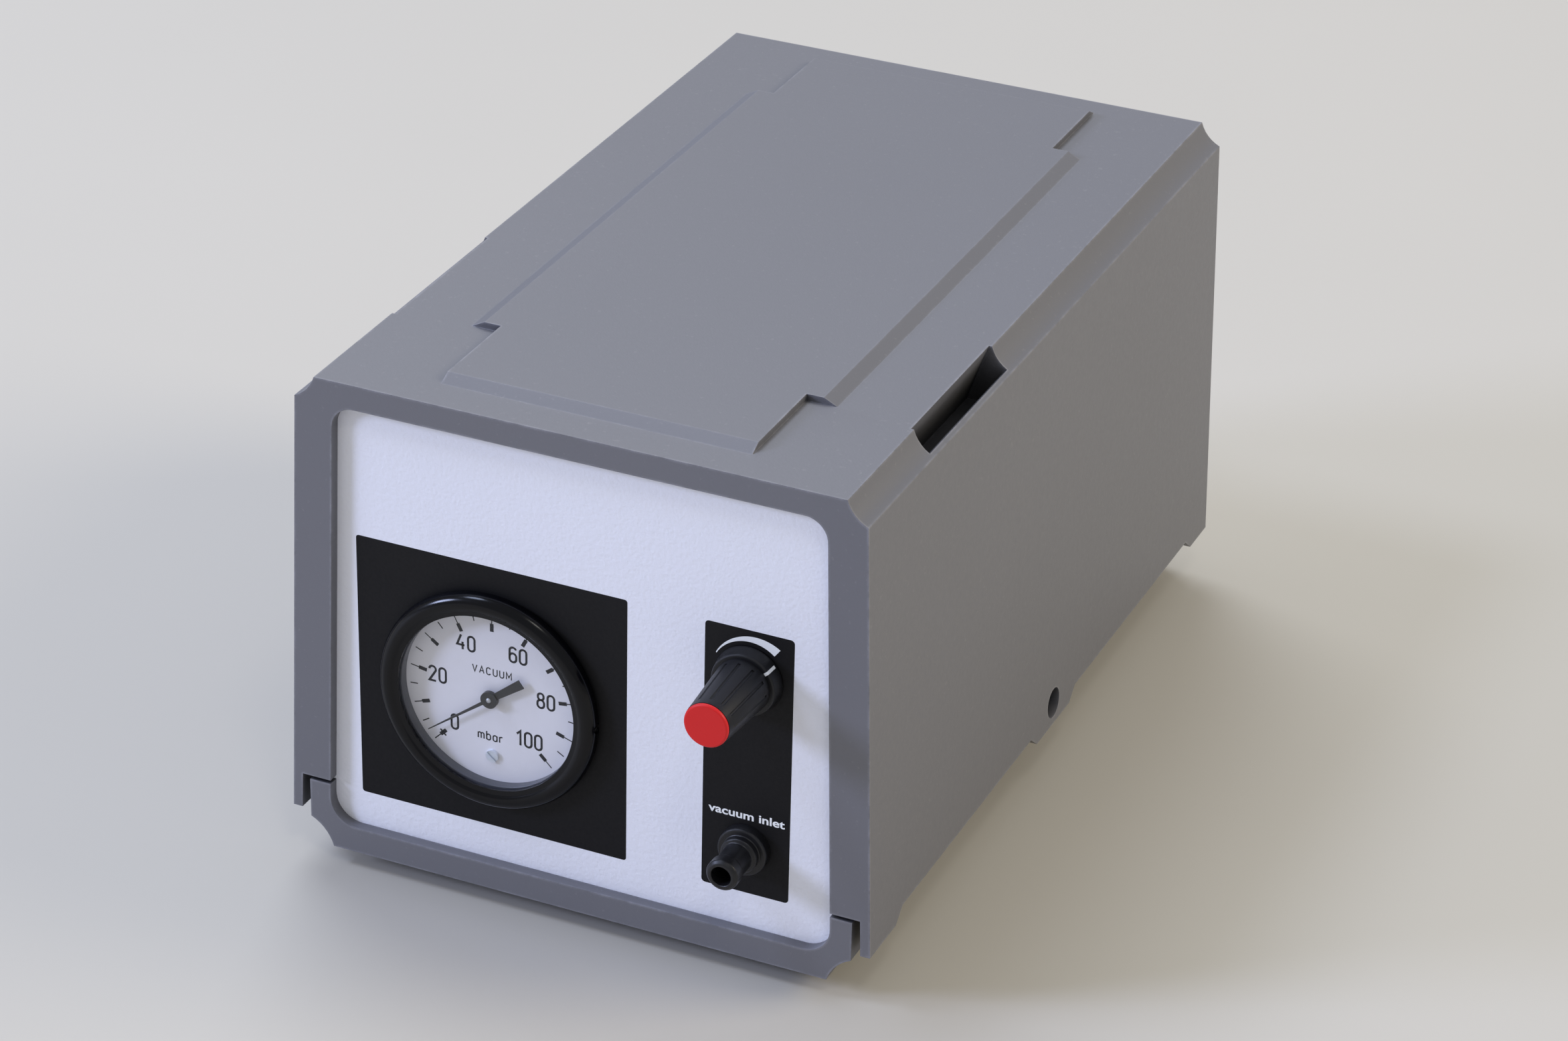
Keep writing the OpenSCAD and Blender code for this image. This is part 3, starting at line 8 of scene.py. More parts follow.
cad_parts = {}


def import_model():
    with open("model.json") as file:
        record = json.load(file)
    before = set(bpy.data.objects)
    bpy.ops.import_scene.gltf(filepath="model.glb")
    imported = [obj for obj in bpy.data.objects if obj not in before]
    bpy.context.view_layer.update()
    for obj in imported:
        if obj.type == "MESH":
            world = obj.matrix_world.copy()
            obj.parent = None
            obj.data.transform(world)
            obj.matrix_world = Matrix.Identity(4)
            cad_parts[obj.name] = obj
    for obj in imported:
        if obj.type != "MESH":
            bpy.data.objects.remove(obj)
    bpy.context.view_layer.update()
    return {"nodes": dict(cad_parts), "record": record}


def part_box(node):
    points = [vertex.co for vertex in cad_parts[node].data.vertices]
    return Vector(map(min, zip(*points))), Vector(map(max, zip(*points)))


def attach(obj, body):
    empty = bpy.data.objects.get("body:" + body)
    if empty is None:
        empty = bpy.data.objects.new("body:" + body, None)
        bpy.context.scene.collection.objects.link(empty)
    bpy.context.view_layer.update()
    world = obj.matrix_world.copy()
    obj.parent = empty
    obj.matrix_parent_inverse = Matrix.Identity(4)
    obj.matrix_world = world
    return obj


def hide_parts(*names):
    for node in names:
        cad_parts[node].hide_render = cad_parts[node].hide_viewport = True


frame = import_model()
NODES = frame["nodes"]
RECORD = frame["record"]
BODY_OF = {n: b for b, ns in RECORD["behaviour"]["bodies"].items() for n in ns}
SLOT_OF = {s["node"]: s["material_slot"] for s in RECORD["subparts"]}
MM = 0.001

# Places that the pieces below line up with, in metres
FRONT_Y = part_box("upper_cover")[0][1]
FACE_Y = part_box("front_panel")[0][1]


def middle(node):
    lo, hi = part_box(node)
    return Vector([(a + b) / 2 for a, b in zip(lo, hi)])


GAUGE = middle("dial_plate")
KNOB = middle("knob_cap")
INLET = middle("vacuum_inlet")
DIAL_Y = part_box("dial_plate")[0][1]


# Camera
PHOTO_WIDTH_PX = 2361.0
FOCAL_LENGTH_PX = 6742.459
SENSOR_MM = 36.0
CAMERA_FROM_FRONT = (0.480529, -0.961605, 0.719238)


def make_camera():
    cam = bpy.data.cameras.new("camera")
    cam.sensor_fit = "HORIZONTAL"
    cam.sensor_width = SENSOR_MM
    cam.lens = SENSOR_MM * FOCAL_LENGTH_PX / PHOTO_WIDTH_PX
    cam.clip_start = 0.05
    cam.clip_end = 50.0
    obj = bpy.data.objects.new("camera", cam)
    bpy.context.scene.collection.objects.link(obj)
    right = Vector((0.912058372, 0.409484133, 0.021731765))
    down = Vector((0.213188268, -0.428236837, -0.878159424))
    forward = Vector((-0.350286008, 0.805565612, -0.477874206))
    turn = Matrix((right, -down, -forward)).transposed()
    place = Vector(CAMERA_FROM_FRONT) + Vector((0, FRONT_Y, 0))
    obj.matrix_world = Matrix.Translation(place) @ turn.to_4x4()
    bpy.context.scene.camera = obj


make_camera()


# Materials
def srgb(r, g, b):
    """A colour as it is seen, 0 to 255, turned into Blender's linear values."""
    return tuple(c / 12.92 if c <= 0.04045 else ((c + 0.055) / 1.055) ** 2.4
                 for c in (r / 255, g / 255, b / 255)) + (1.0,)


def tone(colour, k):
    """The colour made k times as light."""
    return tuple(min(1.0, c * k) for c in colour[:3]) + (1.0,)


class Mat:
    """A node material under construction, with the object's own coordinates in metres."""

    def __init__(self, name):
        self.mat = bpy.data.materials.new(name)
        self.mat.use_nodes = True
        self.tree = self.mat.node_tree
        self.tree.nodes.clear()
        self.out = self.tree.nodes.new("ShaderNodeOutputMaterial")
        self.bsdf = self.tree.nodes.new("ShaderNodeBsdfPrincipled")
        self.link(self.bsdf.outputs[0], self.out.inputs[0])
        self.coord = self.tree.nodes.new("ShaderNodeTexCoord").outputs["Object"]

    def link(self, a, b):
        self.tree.links.new(a, b)

    def node(self, kind, **values):
        n = self.tree.nodes.new(kind)
        for k, v in values.items():
            if k.startswith("in_"):
                n.inputs[k[3:].replace("_", " ")].default_value = v
            else:
                setattr(n, k, v)
        return n

    def noise(self, scale, detail=3.0, rough=0.5, stretch=None):
        n = self.node("ShaderNodeTexNoise", in_Scale=scale, in_Detail=detail, in_Roughness=rough)
        if stretch:
            m = self.node("ShaderNodeMapping", in_Scale=stretch)
            self.link(self.coord, m.inputs["Vector"])
            self.link(m.outputs[0], n.inputs["Vector"])
        else:
            self.link(self.coord, n.inputs["Vector"])
        return n.outputs["Fac"]

    def span(self, value, lo, hi, from_lo=0.3, from_hi=0.7):
        """Stretches the value from one range to another, and stops at both ends."""
        m = self.node("ShaderNodeMapRange")
        self.link(value, m.inputs["Value"])
        for k, v in zip(("From Min", "From Max", "To Min", "To Max"), (from_lo, from_hi, lo, hi)):
            m.inputs[k].default_value = v
        return m.outputs[0]

    def mix(self, fac, a, b):
        m = self.node("ShaderNodeMix", data_type="RGBA", blend_type="MIX")
        for sock, v in ((m.inputs[0], fac), (m.inputs[6], a), (m.inputs[7], b)):
            if hasattr(v, "node"):
                self.link(v, sock)
            else:
                sock.default_value = v
        return m.outputs[2]

    def bump(self, height, distance):
        """Sets the surface's bumps, of the given height in metres."""
        b = self.node("ShaderNodeBump", in_Distance=distance, in_Strength=1.0)
        self.link(height, b.inputs["Height"])
        self.link(b.outputs[0], self.bsdf.inputs["Normal"])

    def edge(self, radius):
        """1 on edges that round off within the radius, 0 on flat faces."""
        bev = self.node("ShaderNodeBevel", samples=6, in_Radius=radius)
        geo = self.node("ShaderNodeNewGeometry")
        dot = self.node("ShaderNodeVectorMath", operation="DOT_PRODUCT")
        self.link(bev.outputs[0], dot.inputs[0])
        self.link(geo.outputs["Normal"], dot.inputs[1])
        return self.span(dot.outputs["Value"], 1.0, 0.0, 0.95, 0.999)

    def hollow(self, distance, most):
        """Rises to its most in deep recesses and narrow gaps, 0 on open faces."""
        ao = self.node("ShaderNodeAmbientOcclusion", samples=8, in_Distance=distance)
        return self.span(ao.outputs["AO"], most, 0.0, 0.18, 0.58)


def plastic(name, colour, rough=0.5, grain=0.0004, depth=0.00002, var=0.04, wear_and_highlight=0.0, wear_and_highlight_r=0.0012,
            dust=0.0, specular=0.5, rough_var=0.06, rough_scale=60.0, painted_shade=0.0):
    """grain and depth are the size and height of its grain, var how much its colour varies,
    wear_and_highlight how light its edges are painted, as rubbed wear and painted highlight, dust how many
    pale specks it has, and painted_shade how dark its recesses are painted, as shade."""
    m = Mat(name)
    big = m.noise(9.0)
    col = m.mix(m.span(big, 0.0, 1.0), tone(colour, 1 - var), tone(colour, 1 + var))
    fine = m.noise(1.0 / grain, rough=0.6)
    col = m.mix(m.span(fine, 0.0, 0.35), col, tone(colour, 1 - 2.5 * var))
    if dust:
        specks = m.noise(700.0, 2.0)
        col = m.mix(m.span(specks, 0.0, dust, 0.66, 0.74), col, srgb(205, 203, 198))
    # Edges are painted lighter: partly rubbed wear, partly a painted highlight.
    if wear_and_highlight:
        worn_and_highlit = m.node("ShaderNodeMath", operation="MULTIPLY")
        m.link(m.edge(wear_and_highlight_r), worn_and_highlit.inputs[0])
        m.link(m.span(m.noise(160.0, 4.0, 0.7), 0.0, wear_and_highlight, 0.35, 0.7), worn_and_highlit.inputs[1])
        col = m.mix(worn_and_highlit.outputs[0], col, tone(colour, 1.9))
    # Recesses and narrow gaps are painted dark: painted shade.
    if painted_shade:
        col = m.mix(m.hollow(0.016, painted_shade), col, tone(colour, 0.10))
    m.link(col, m.bsdf.inputs["Base Color"])
    m.link(m.span(m.noise(rough_scale, 4.0, 0.6), rough - rough_var, rough + rough_var),
           m.bsdf.inputs["Roughness"])
    m.bump(fine, depth)
    m.bsdf.inputs["Specular IOR Level"].default_value = specular
    return m.mat


def metal(name, colour, rough=0.3, brushed=None, var=0.06, depth=0.000008):
    """brushed stretches the grain along the axis with the smallest number."""
    m = Mat(name)
    big = m.noise(40.0)
    col = m.mix(m.span(big, 0.0, 1.0), tone(colour, 1 - var), tone(colour, 1 + var))
    m.link(col, m.bsdf.inputs["Base Color"])
    m.bsdf.inputs["Metallic"].default_value = 1.0
    fine = m.noise(900.0, rough=0.6, stretch=brushed or (1, 1, 1))
    m.link(m.span(fine, rough - 0.08, rough + 0.1), m.bsdf.inputs["Roughness"])
    m.bump(fine, depth)
    return m.mat


def panel_material():
    """Off-white foil with a fine leather grain."""
    m = Mat("panel_foil")
    colour = srgb(240, 241, 250)
    col = m.mix(m.span(m.noise(7.0), 0.0, 1.0), tone(colour, 0.98), tone(colour, 1.01))
    cells = m.node("ShaderNodeTexVoronoi", feature="SMOOTH_F1", in_Scale=820.0, in_Smoothness=0.7)
    m.link(m.coord, cells.inputs["Vector"])
    fine = m.noise(1500.0, rough=0.6)
    height = m.node("ShaderNodeMath", operation="ADD")
    m.link(cells.outputs["Distance"], height.inputs[0])
    m.link(fine, height.inputs[1])
    m.link(col, m.bsdf.inputs["Base Color"])
    m.link(m.span(fine, 0.42, 0.56), m.bsdf.inputs["Roughness"])
    m.bump(height.outputs[0], 0.000075)
    m.bsdf.inputs["Specular IOR Level"].default_value = 0.45
    return m.mat


def ink(name, colour, rough, depth=0.00001, specular=0.5):
    """Printed paint with a fine uneven coat."""
    m = Mat(name)
    fine = m.noise(1100.0, rough=0.6)
    col = m.mix(m.span(m.noise(15.0), 0.0, 1.0), tone(colour, 0.92), tone(colour, 1.08))
    m.link(col, m.bsdf.inputs["Base Color"])
    m.link(m.span(fine, rough - 0.05, rough + 0.07), m.bsdf.inputs["Roughness"])
    m.bump(fine, depth)
    m.bsdf.inputs["Specular IOR Level"].default_value = specular
    return m.mat


def glass_material():
    """Clear glass that lets light and shadows through to the dial."""
    m = Mat("gauge_glass_clear")
    m.bsdf.inputs["Base Color"].default_value = (0.97, 0.985, 1.0, 1.0)
    m.bsdf.inputs["Transmission Weight"].default_value = 1.0
    m.bsdf.inputs["IOR"].default_value = 1.3
    m.link(m.span(m.noise(25.0), 0.0, 0.02), m.bsdf.inputs["Roughness"])
    clear = m.node("ShaderNodeBsdfTransparent")
    path = m.node("ShaderNodeLightPath")
    either = m.node("ShaderNodeMath", operation="MAXIMUM")
    m.link(path.outputs["Is Shadow Ray"], either.inputs[0])
    m.link(path.outputs["Is Diffuse Ray"], either.inputs[1])
    mix = m.node("ShaderNodeMixShader")
    m.link(either.outputs[0], mix.inputs[0])
    m.link(m.bsdf.outputs[0], mix.inputs[1])
    m.link(clear.outputs[0], mix.inputs[2])
    m.link(mix.outputs[0], m.out.inputs[0])
    return m.mat


def winding_material():
    """Enamelled wire laid side by side under clear tape."""
    m = Mat("enamelled_wire")
    wave = m.node("ShaderNodeTexWave", wave_type="BANDS", bands_direction="Y", in_Scale=700.0,
                  in_Distortion=0.4, in_Detail=1.0)
    m.link(m.coord, wave.inputs["Vector"])
    col = m.mix(wave.outputs["Fac"], srgb(92, 36, 14), srgb(178, 92, 46))
    m.link(col, m.bsdf.inputs["Base Color"])
    m.bsdf.inputs["Metallic"].default_value = 0.7
    m.link(m.span(m.noise(300.0), 0.25, 0.42), m.bsdf.inputs["Roughness"])
    m.bump(wave.outputs["Fac"], 0.00015)
    return m.mat


# The shell's recesses are painted dark as painted shade, and its edges are painted lighter as wear and
# painted highlight.
SHELL = plastic("moulded_grey", srgb(110, 110, 116), 0.44, 0.00060, 0.000036, 0.012, wear_and_highlight=0.8, dust=0.06,
                specular=0.6, rough_var=0.03, rough_scale=500.0, painted_shade=0.96)
PANEL = panel_material()
PRINT_BLACK = ink("black_print", srgb(15, 14, 16), 0.6, specular=0.25)
PRINT_WHITE = ink("white_print", srgb(244, 246, 250), 0.55)
DIAL_INK = ink("dial_ink", srgb(16, 16, 24), 0.6, specular=0.2)
BEZEL = plastic("bezel_black", srgb(5, 5, 9), 0.17, 0.0012, 0.000005, 0.05, specular=0.26, rough_var=0.04)
BLACK = plastic("black_plastic", srgb(22, 22, 25), 0.36, 0.0005, 0.000010, 0.06, wear_and_highlight=0.25, wear_and_highlight_r=0.0006,
                specular=0.45)
RING = plastic("spacer_grey", srgb(74, 76, 84), 0.34, 0.0005, 0.000008, 0.05)
KNOB_BLACK = plastic("knob_black", srgb(17, 17, 20), 0.42, 0.0003, 0.000010, 0.05, specular=0.4)
RED = plastic("cap_red", srgb(216, 30, 32), 0.42, 0.0005, 0.000010, 0.03, specular=0.35)
RUBBER = plastic("foot_rubber", srgb(30, 30, 31), 0.75, 0.0006, 0.00003, 0.08, dust=0.2)
HOSE = plastic("hose_silicone", srgb(205, 200, 186), 0.38, 0.002, 0.00001, 0.04)
STEEL = metal("steel", srgb(196, 197, 200), 0.32, brushed=(1, 8, 1))
ZINC = metal("zinc_plate", srgb(226, 230, 236), 0.5)
BLACK_STEEL = plastic("blackened_screw", srgb(30, 30, 32), 0.36, 0.0004, 0.00001, 0.08)
BRASS = metal("brass", srgb(214, 178, 104), 0.3)
BRONZE = metal("sintered_bronze", srgb(158, 120, 78), 0.6, depth=0.00008)
CAST = metal("cast_aluminium", srgb(186, 188, 192), 0.5, depth=0.00004)
MAGNET = plastic("magnet_ferrite", srgb(58, 58, 62), 0.5, 0.0006, 0.00002, 0.08)
DIAL = plastic("dial_enamel", srgb(226, 224, 230), 0.5, 0.0009, 0.000004, 0.012)
WIRE = winding_material()
GLASS = glass_material()
SLOT_MATS = {
    "shell_plastic": SHELL, "panel_plastic": PANEL, "black_plastic": BLACK, "gloss_black": BEZEL,
    "black_paint": BLACK_STEEL, "rubber": RUBBER, "hose": HOSE, "steel": STEEL, "brass": BRASS,
    "copper_wire": WIRE, "sintered_bronze": BRONZE, "red_plastic": RED, "dial_white": DIAL,
    "clear_glass": GLASS, "cast_aluminium": CAST, "magnet": MAGNET,
}


# Pieces
def keep(obj, body, material):
    """Puts a finished piece on its body with its material."""
    if obj.name not in bpy.context.scene.collection.objects:
        bpy.context.scene.collection.objects.link(obj)
    obj.data.materials.clear()
    obj.data.materials.append(material)
    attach(obj, body)


def from_bmesh(name, bm):
    mesh = bpy.data.meshes.new(name)
    bm.to_mesh(mesh)
    bm.free()
    return bpy.data.objects.new(name, mesh)


def mesh_of(obj):
    """The object's mesh with its modifiers or its curve worked out."""
    bpy.context.view_layer.update()
    return bpy.data.meshes.new_from_object(obj.evaluated_get(bpy.context.evaluated_depsgraph_get()))


def curve_mesh(name, curve):
    temp = bpy.data.objects.new(name, curve)
    bpy.context.scene.collection.objects.link(temp)
    mesh = mesh_of(temp)
    bpy.data.objects.remove(temp)
    return mesh


def clean_copy(node):
    """The CAD node's mesh with its split corners joined and its flat faces whole."""
    bm = bmesh.new()
    bm.from_mesh(NODES[node].data)
    for layers in (bm.loops.layers.uv, bm.loops.layers.float_vector, bm.verts.layers.float_vector):
        for layer in list(layers):
            layers.remove(layer)
    bmesh.ops.remove_doubles(bm, verts=bm.verts, dist=2e-6)
    bmesh.ops.dissolve_limit(bm, angle_limit=math.radians(0.6), verts=bm.verts, edges=bm.edges)
    for f in bm.faces:
        f.smooth = True
        f.material_index = 0
    return bm


def dress(node, material, width, angle, segments, sharp=32):
    """Replaces a CAD node by the same shape with its edges rounded by the width, in millimetres, where they
    turn by more than the angle."""
    obj = from_bmesh(node + "_dressed", clean_copy(node))
    mesh = obj.data
    if "custom_normal" in mesh.attributes:
        mesh.attributes.remove(mesh.attributes["custom_normal"])
    mesh.set_sharp_from_angle(angle=math.radians(sharp))
    bpy.context.scene.collection.objects.link(obj)
    mod = obj.modifiers.new("edges", "BEVEL")
    mod.width = width * MM
    mod.segments = segments
    mod.limit_method = "ANGLE"
    mod.angle_limit = math.radians(angle)
    mod.use_clamp_overlap = True
    mod.miter_outer = "MITER_ARC"
    even = obj.modifiers.new("even", "WEIGHTED_NORMAL")
    even.mode = "FACE_AREA"
    even.weight = 90
    even.keep_sharp = True
    dressed = mesh_of(obj)
    obj.modifiers.clear()
    obj.data = dressed
    keep(obj, BODY_OF[node], material or SLOT_MATS[SLOT_OF[node]])
    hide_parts(node)


def flat(name, loops, y, material):
    """A thin print of closed X-Z outlines, given in metres; inner outlines are holes."""
    curve = bpy.data.curves.new(name, "CURVE")
    curve.dimensions = "2D"
    curve.fill_mode = "BOTH"
    curve.extrude = PRINT_T / 2
    for loop in loops:
        sp = curve.splines.new("POLY")
        sp.points.add(len(loop) - 1)
        for p, (x, z) in zip(sp.points, loop):
            p.co = (x, z, 0.0, 1.0)
        sp.use_cyclic_u = True
    mesh = curve_mesh(name + "_curve", curve)
    mesh.transform(Matrix.Translation((0, y - PRINT_T / 2, 0)) @ Matrix.Rotation(math.pi / 2, 4, "X"))
    keep(bpy.data.objects.new(name, mesh), "root", material)


def circle(cx, cz, r, n=96, a0=0.0, a1=360.0):
    """Points clockwise from the top, in metres; a full circle leaves out its last point."""
    last = 0 if a1 - a0 >= 360 else 1
    return [(cx + r * math.sin(math.radians(a0 + (a1 - a0) * i / n)),
             cz + r * math.cos(math.radians(a0 + (a1 - a0) * i / n))) for i in range(n + last)]


def rounded(x0, x1, z0, z1, r, n=6):
    """Outline of a rectangle with round corners, clockwise."""
    pts = []
    for cx, cz, a in ((x1 - r, z1 - r, 0), (x1 - r, z0 + r, 90),
                      (x0 + r, z0 + r, 180), (x0 + r, z1 - r, 270)):
        pts += circle(cx, cz, r, n, a, a + 90)
    return pts


# Strokes of plain numbers and letters, on a cell one high with its middle at 0
def arc(cx, cz, rx, rz, a0, a1, n=10):
    """Points anticlockwise from the right."""
    return [(cx + rx * math.cos(math.radians(a0 + (a1 - a0) * i / n)),
             cz + rz * math.sin(math.radians(a0 + (a1 - a0) * i / n))) for i in range(n + 1)]


def oval(w, z0, z1):
    r = w / 2
    return arc(0, z1 - r, r, r, 0, 180) + arc(0, z0 + r, r, r, 180, 360) + [(r, z1 - r)]


W = 0.44  # width of a number
GLYPHS = {
    "0": (W, [oval(W, -0.5, 0.5)]),
    "1": (0.30, [[(-0.15, 0.27), (0.08, 0.5), (0.08, -0.5)]]),
    "2": (W, [arc(0, 0.5 - W / 2, W / 2, W / 2, 180, -25) + [(-W / 2, -0.5), (W / 2, -0.5)]]),
    "4": (0.50, [[(0.02, 0.5), (-0.25, -0.2), (0.25, -0.2)], [(0.12, 0.02), (0.12, -0.5)]]),
    "6": (W, [oval(W, -0.5, 0.10), arc(0, 0.5 - W / 2, W / 2, W / 2, 20, 180) + [(-W / 2, -0.2)]]),
    "8": (W, [oval(W, -0.5, 0.05), oval(W * 0.86, 0.05, 0.5)]),
    "V": (0.62, [[(-0.31, 0.5), (0, -0.5), (0.31, 0.5)]]),
    "A": (0.62, [[(-0.31, -0.5), (0, 0.5), (0.31, -0.5)], [(-0.2, -0.16), (0.2, -0.16)]]),
    "C": (0.56, [arc(0, 0.22, 0.28, 0.28, 20, 180) + arc(0, -0.22, 0.28, 0.28, 180, 340)]),
    "U": (0.56, [[(-0.28, 0.5)] + arc(0, -0.22, 0.28, 0.28, 180, 360) + [(0.28, 0.5)]]),
    "M": (0.70, [[(-0.35, -0.5), (-0.35, 0.5), (0, -0.2), (0.35, 0.5), (0.35, -0.5)]]),
    "m": (0.66, [[(-0.33, -0.5), (-0.33, 0.17)], arc(-0.165, 0.0, 0.165, 0.17, 180, 0) + [(0.0, -0.5)],
                 arc(0.165, 0.0, 0.165, 0.17, 180, 0) + [(0.33, -0.5)]]),
    "b": (0.44, [[(-0.22, 0.5), (-0.22, -0.5)], oval(0.44, -0.5, 0.17)]),
    "a": (0.44, [oval(0.44, -0.5, 0.17), [(0.22, 0.17), (0.22, -0.5)]]),
    "r": (0.34, [[(-0.17, -0.5), (-0.17, 0.17)], arc(0.05, -0.05, 0.22, 0.22, 180, 60)]),
}


def ribbon(bm, points, width, y):
    """A flat strip along the points, in metres, on a plane of constant Y that faces the front."""
    pts = [Vector(p) for p in points]
    closed = (pts[0] - pts[-1]).length < 1e-7
    if closed:
        pts = pts[:-1]
    n = len(pts)
    left, right = [], []
    for i, p in enumerate(pts):
        a = pts[(i - 1) % n] if closed or i else p
        b = pts[(i + 1) % n] if closed or i < n - 1 else p
        d0 = (p - a).normalized() if (p - a).length > 1e-9 else (b - p).normalized()
        d1 = (b - p).normalized() if (b - p).length > 1e-9 else d0
        t = (d0 + d1).normalized()
        nrm = Vector((-t.y, t.x))
        k = width / 2 / max(0.45, nrm.dot(Vector((-d0.y, d0.x))))
        left.append(bm.verts.new((p.x + nrm.x * k, y, p.y + nrm.y * k)))
        right.append(bm.verts.new((p.x - nrm.x * k, y, p.y - nrm.y * k)))
    for i in range(n if closed else n - 1):
        j = (i + 1) % n
        f = bm.faces.new((left[i], right[i], right[j], left[j]))
        f.normal_update()
        if f.normal.y > 0:
            f.normal_flip()


def write(bm, word, cx, cz, height, stroke, y, gap):
    """Draws a word of stroke letters with its middle at cx, cz."""
    k = height - stroke
    widths = [GLYPHS[c][0] * k for c in word]
    total = sum(widths) + gap * (len(word) - 1)
    x = cx - total / 2
    for c, w in zip(word, widths):
        for pts in GLYPHS[c][1]:
            ribbon(bm, [(x + w / 2 + px * k, cz + pz * k) for px, pz in pts], stroke, y)
        x += w + gap


FONT_X_HEIGHT = 0.53  # of the built-in font's small letters, at size 1


def words(name, text, x0, x1, base_z, x_height, y, material, weight):
    """Built-in lettering fitted between x0 and x1, all in metres. weight thickens its strokes."""
    curve = bpy.data.curves.new(name, "FONT")
    curve.body = text
    curve.size = 1.0
    curve.offset = weight
    curve.resolution_u = 6
    mesh = curve_mesh(name + "_text", curve)
    xs = [v.co.x for v in mesh.vertices]
    lo, hi = min(xs), max(xs)
    wide = (x1 - x0) / (hi - lo)
    high = x_height / FONT_X_HEIGHT
    for v in mesh.vertices:
        v.co = Vector(((v.co.x - (lo + hi) / 2) * wide, v.co.y * high, v.co.z))
    mesh.transform(Matrix.Translation(((x0 + x1) / 2, y, base_z)) @ Matrix.Rotation(math.pi / 2, 4, "X"))
    keep(bpy.data.objects.new(name, mesh), "root", material)


# Case
dress("upper_cover", SHELL, 0.7, 20, 3, 20)
dress("lower_tray", SHELL, 0.7, 20, 3, 20)
dress("front_panel", PANEL, 0.25, 40, 2)
dress("rubber_feet", RUBBER, 0.4, 40, 2)

# Printed fields of the front panel
PRINT_T = 0.00004
GAUGE_HOLE_R = 0.0302
SPINDLE_HOLE_R = 0.0051
gx, gz = GAUGE.x, GAUGE.z
kx, kz = KNOB.x, KNOB.z
square = rounded(gx - 0.0424, gx + 0.0426, gz - 0.0425, gz + 0.0425, 0.0009)
strip = rounded(kx - 0.01355, kx + 0.0133, kz - 0.0699, kz + 0.0151, 0.0012)
flat("print_square", [square, circle(gx, gz, GAUGE_HOLE_R)], FACE_Y, PRINT_BLACK)
flat("print_strip", [strip, circle(kx, kz, SPINDLE_HOLE_R), circle(INLET.x, INLET.z, SPINDLE_HOLE_R)],
     FACE_Y, PRINT_BLACK)


def wedge_outline():
    """The opening mark: an arc that grows from a point to its full width."""
    inner = circle(kx, kz, 0.01146, 40, -61, 40)
    ox, oz, r = kx + 0.00176, kz - 0.0001, 0.01335
    end = math.degrees(math.atan2(inner[-1][0] - ox, inner[-1][1] - oz))
    start = math.degrees(math.atan2(inner[0][0] - ox, inner[0][1] - oz))
    outer = circle(ox, oz, r, 40, start + 1.0, end + 1.0)
    return inner + outer[::-1]


WORDS_HALF = 0.0117
flat("print_wedge", [wedge_outline()], FACE_Y - PRINT_T, PRINT_WHITE)
words("print_inlet", "vacuum inlet", INLET.x - WORDS_HALF, INLET.x + WORDS_HALF, INLET.z + 0.0092, 0.00195,
      FACE_Y - 1.6 * PRINT_T, PRINT_WHITE, weight=0.022)

# Gauge
for node, material, width in (("gauge_can", None, 0.15), ("gauge_bezel", BEZEL, 0.12),
                              ("bezel_screws", BLACK_STEEL, 0.12), ("glass_spacer", RING, 0.1),
                              ("dial_set_screw", ZINC, 0.15), ("gauge_pointer", None, 0.06)):
    dress(node, material, width, 30, 2)
dress("dial_plate", DIAL, 0.05, 30, 1)


MARK_STEP = 5
DEGREES_PER_UNIT = 2.7
MIDDLE_UNIT = 50
MARK_MID_R, MARK_OUT_R = 0.0238, 0.0264


def dial_marks():
    """The scale from 0 to 100, every second mark thick, with a stroke across the first one."""
    bm = bmesh.new()
    y = DIAL_Y - 0.00002
    for i in range(100 // MARK_STEP + 1):
        a = math.radians((i * MARK_STEP - MIDDLE_UNIT) * DEGREES_PER_UNIT)
        s, c = math.sin(a), math.cos(a)

        def bar(r0, r1, w):
            ribbon(bm, [(gx + s * r0, gz + c * r0), (gx + s * r1, gz + c * r1)], w, y)

        if i % 2:
            bar(0.0240, MARK_OUT_R, 0.00036)
        else:
            bar(0.0212, MARK_MID_R, 0.00118)
            bar(MARK_MID_R, MARK_OUT_R, 0.00034)
            if i == 0:
                r, half = 0.0226, 0.0013
                ribbon(bm, [(gx + s * r - c * half, gz + c * r + s * half),
                            (gx + s * r + c * half, gz + c * r - s * half)], 0.00055, y)
    for text, x, z in (("0", -12.2, -11.5), ("20", -17.5, 2.8), ("40", -8.3, 15.5), ("60", 8.2, 15.4),
                       ("80", 16.9, 2.7), ("100", 11.6, -11.4)):
        write(bm, text, gx + x * MM, gz + z * MM, 0.0054, 0.00068, y, 0.00112)
    write(bm, "VACUUM", gx - 0.0001, gz + 0.00805, 0.0026, 0.00036, y, 0.00084)
    write(bm, "mbar", gx - 0.0008, gz - 0.01325, 0.0032, 0.00042, y, 0.00085)
    return from_bmesh("dial_marks", bm)


keep(dial_marks(), "root", DIAL_INK)


def pointer_pin():
    """Bright end of the arbor in the pointer's hub."""
    bm = bmesh.new()
    hub_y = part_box("gauge_pointer")[0][1]
    rings = [(0.00075, 0.0), (0.00075, -0.0001), (0.00055, -0.00022), (0.0002, -0.00028)]
    sides = 24
    last = None
    for r, dy in rings:
        row = [bm.verts.new((gx + r * math.cos(t), hub_y + dy, gz + r * math.sin(t)))
               for t in (2 * math.pi * i / sides for i in range(sides))]
        if last:
            for i in range(sides):
                j = (i + 1) % sides
                bm.faces.new((last[i], last[j], row[j], row[i]))
        last = row
    bm.faces.new(last)
    bmesh.ops.recalc_face_normals(bm, faces=bm.faces)
    for f in bm.faces:
        f.smooth = True
    return from_bmesh("pointer_pin", bm)


keep(pointer_pin(), "pointer", STEEL)

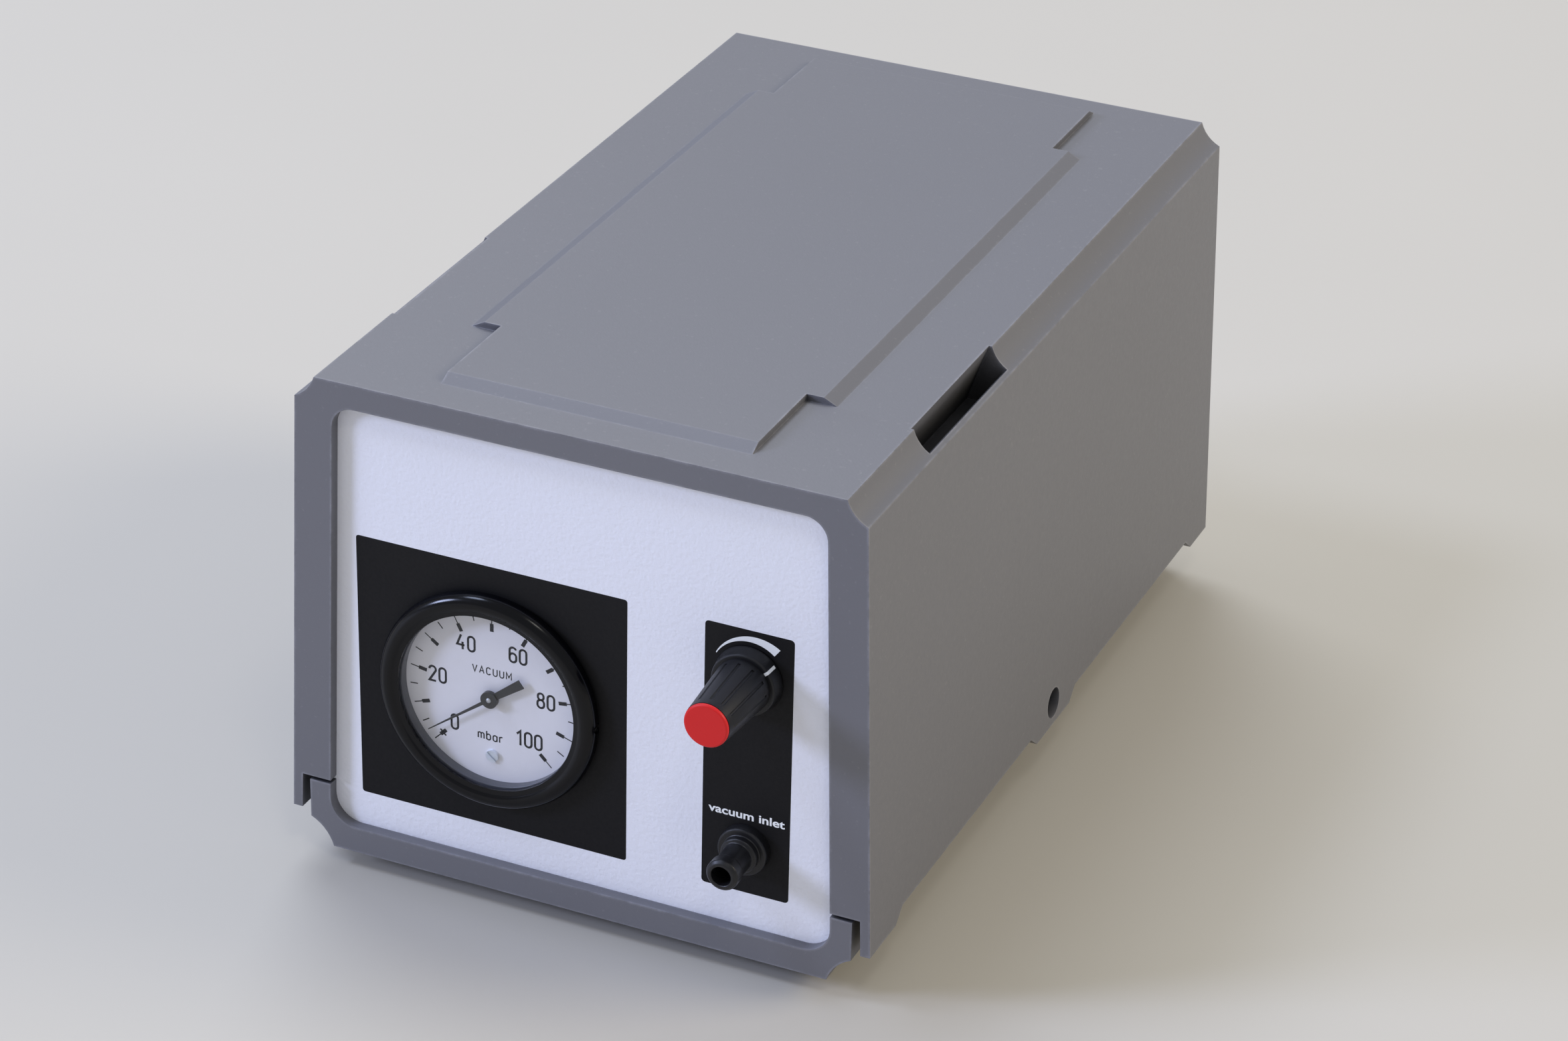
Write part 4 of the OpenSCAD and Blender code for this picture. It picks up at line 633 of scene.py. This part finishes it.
# Knob and nozzles
for node, material, width in (("knob_grip", KNOB_BLACK, 0.12), ("knob_cap", RED, 0.2),
                              ("knob_skirt", KNOB_BLACK, 0.25), ("vacuum_inlet", BLACK, 0.25),
                              ("exhaust_outlet", BLACK, 0.25)):
    dress(node, material, width, 28, 2)


def index_line():
    """White line across the collar's front face and back along its side."""
    lo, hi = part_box("knob_skirt")
    skirt_r = (hi[0] - lo[0]) / 2
    a = math.radians(51.5)
    s, c = math.sin(a), math.cos(a)
    lift = 0.00005
    half = 0.00046
    bm = bmesh.new()
    rows = []
    for r, y in ((0.0084, lo[1] - lift), (skirt_r - 0.0010, lo[1] - lift),
                 (skirt_r - 0.0007 + lift, lo[1] + 0.0003 - lift), (skirt_r - 0.0001 + lift, hi[1] - 0.0007)):
        rows.append([bm.verts.new((kx + s * r + side * c * half, y, kz + c * r - side * s * half))
                     for side in (-1, 1)])
    for front, back in zip(rows, rows[1:]):
        bm.faces.new((front[0], front[1], back[1], back[0]))
    bmesh.ops.recalc_face_normals(bm, faces=bm.faces)
    return from_bmesh("index_line", bm)


keep(index_line(), "regulator", PRINT_WHITE)

# Rear
for node, material, width in (("mains_inlet", BLACK, 0.4), ("mains_pins", STEEL, 0.25),
                              ("fuse_drawer", BLACK, 0.3), ("switch_frame", BLACK, 0.4),
                              ("switch_rocker", BEZEL, 0.4), ("cover_screws", BLACK_STEEL, 0.15)):
    dress(node, material, width, 32, 2)

# Everything that keeps its CAD shape
for name, obj in NODES.items():
    if obj.hide_render or obj.name not in bpy.context.scene.objects:
        continue
    for own in obj.material_slots:
        own.link = "OBJECT"
        own.material = SLOT_MATS[SLOT_OF[name]]


# Studio
def floor():
    m = Mat("floor_pale")
    colour = srgb(196, 192, 184)
    col = m.mix(m.span(m.noise(3.0), 0.0, 1.0), tone(colour, 0.985), tone(colour, 1.01))
    m.link(col, m.bsdf.inputs["Base Color"])
    m.bsdf.inputs["Roughness"].default_value = 0.6
    m.bsdf.inputs["Specular IOR Level"].default_value = 0.25
    bm = bmesh.new()
    bmesh.ops.create_grid(bm, x_segments=4, y_segments=4, size=4.0)
    obj = from_bmesh("floor", bm)
    bpy.context.scene.collection.objects.link(obj)
    obj.data.materials.append(m.mat)


floor()


LIT_POINT = Vector((0, 0, 0.1))


def lamp(name, place, size, power, colour):
    """A round lamp, in metres and watts, that shines at the case."""
    light = bpy.data.lights.new(name, "AREA")
    light.shape = "DISK"
    light.size = size
    light.energy = power
    light.color = colour
    obj = bpy.data.objects.new(name, light)
    bpy.context.scene.collection.objects.link(obj)
    d = (LIT_POINT - Vector(place)).normalized()
    obj.matrix_world = Matrix.Translation(place) @ d.to_track_quat("-Z", "Y").to_matrix().to_4x4()


lamp("window_low", (-3.4, -2.3, 1.7), 1.1, 104.0, (0.59, 0.67, 1.0))
lamp("window_high", (-2.2, -1.2, 3.5), 1.0, 44.0, (0.62, 0.72, 1.0))
lamp("sky", (-1.6, 1.8, 3.4), 2.6, 74.0, (0.84, 0.90, 1.0))
lamp("ceiling", (1.2, -1.6, 3.2), 0.6, 9.0, (1.0, 0.97, 0.90))
lamp("room", (3.2, 1.2, 2.2), 1.8, 72.0, (1.0, 0.89, 0.69))


def world():
    w = bpy.data.worlds.new("studio")
    bpy.context.scene.world = w
    w.use_nodes = True
    bg = w.node_tree.nodes["Background"]
    bg.inputs["Color"].default_value = (0.95, 0.97, 1.0, 1.0)
    bg.inputs["Strength"].default_value = 0.40


world()
bpy.context.scene.view_settings.view_transform = "Standard"

bpy.context.view_layer.update()
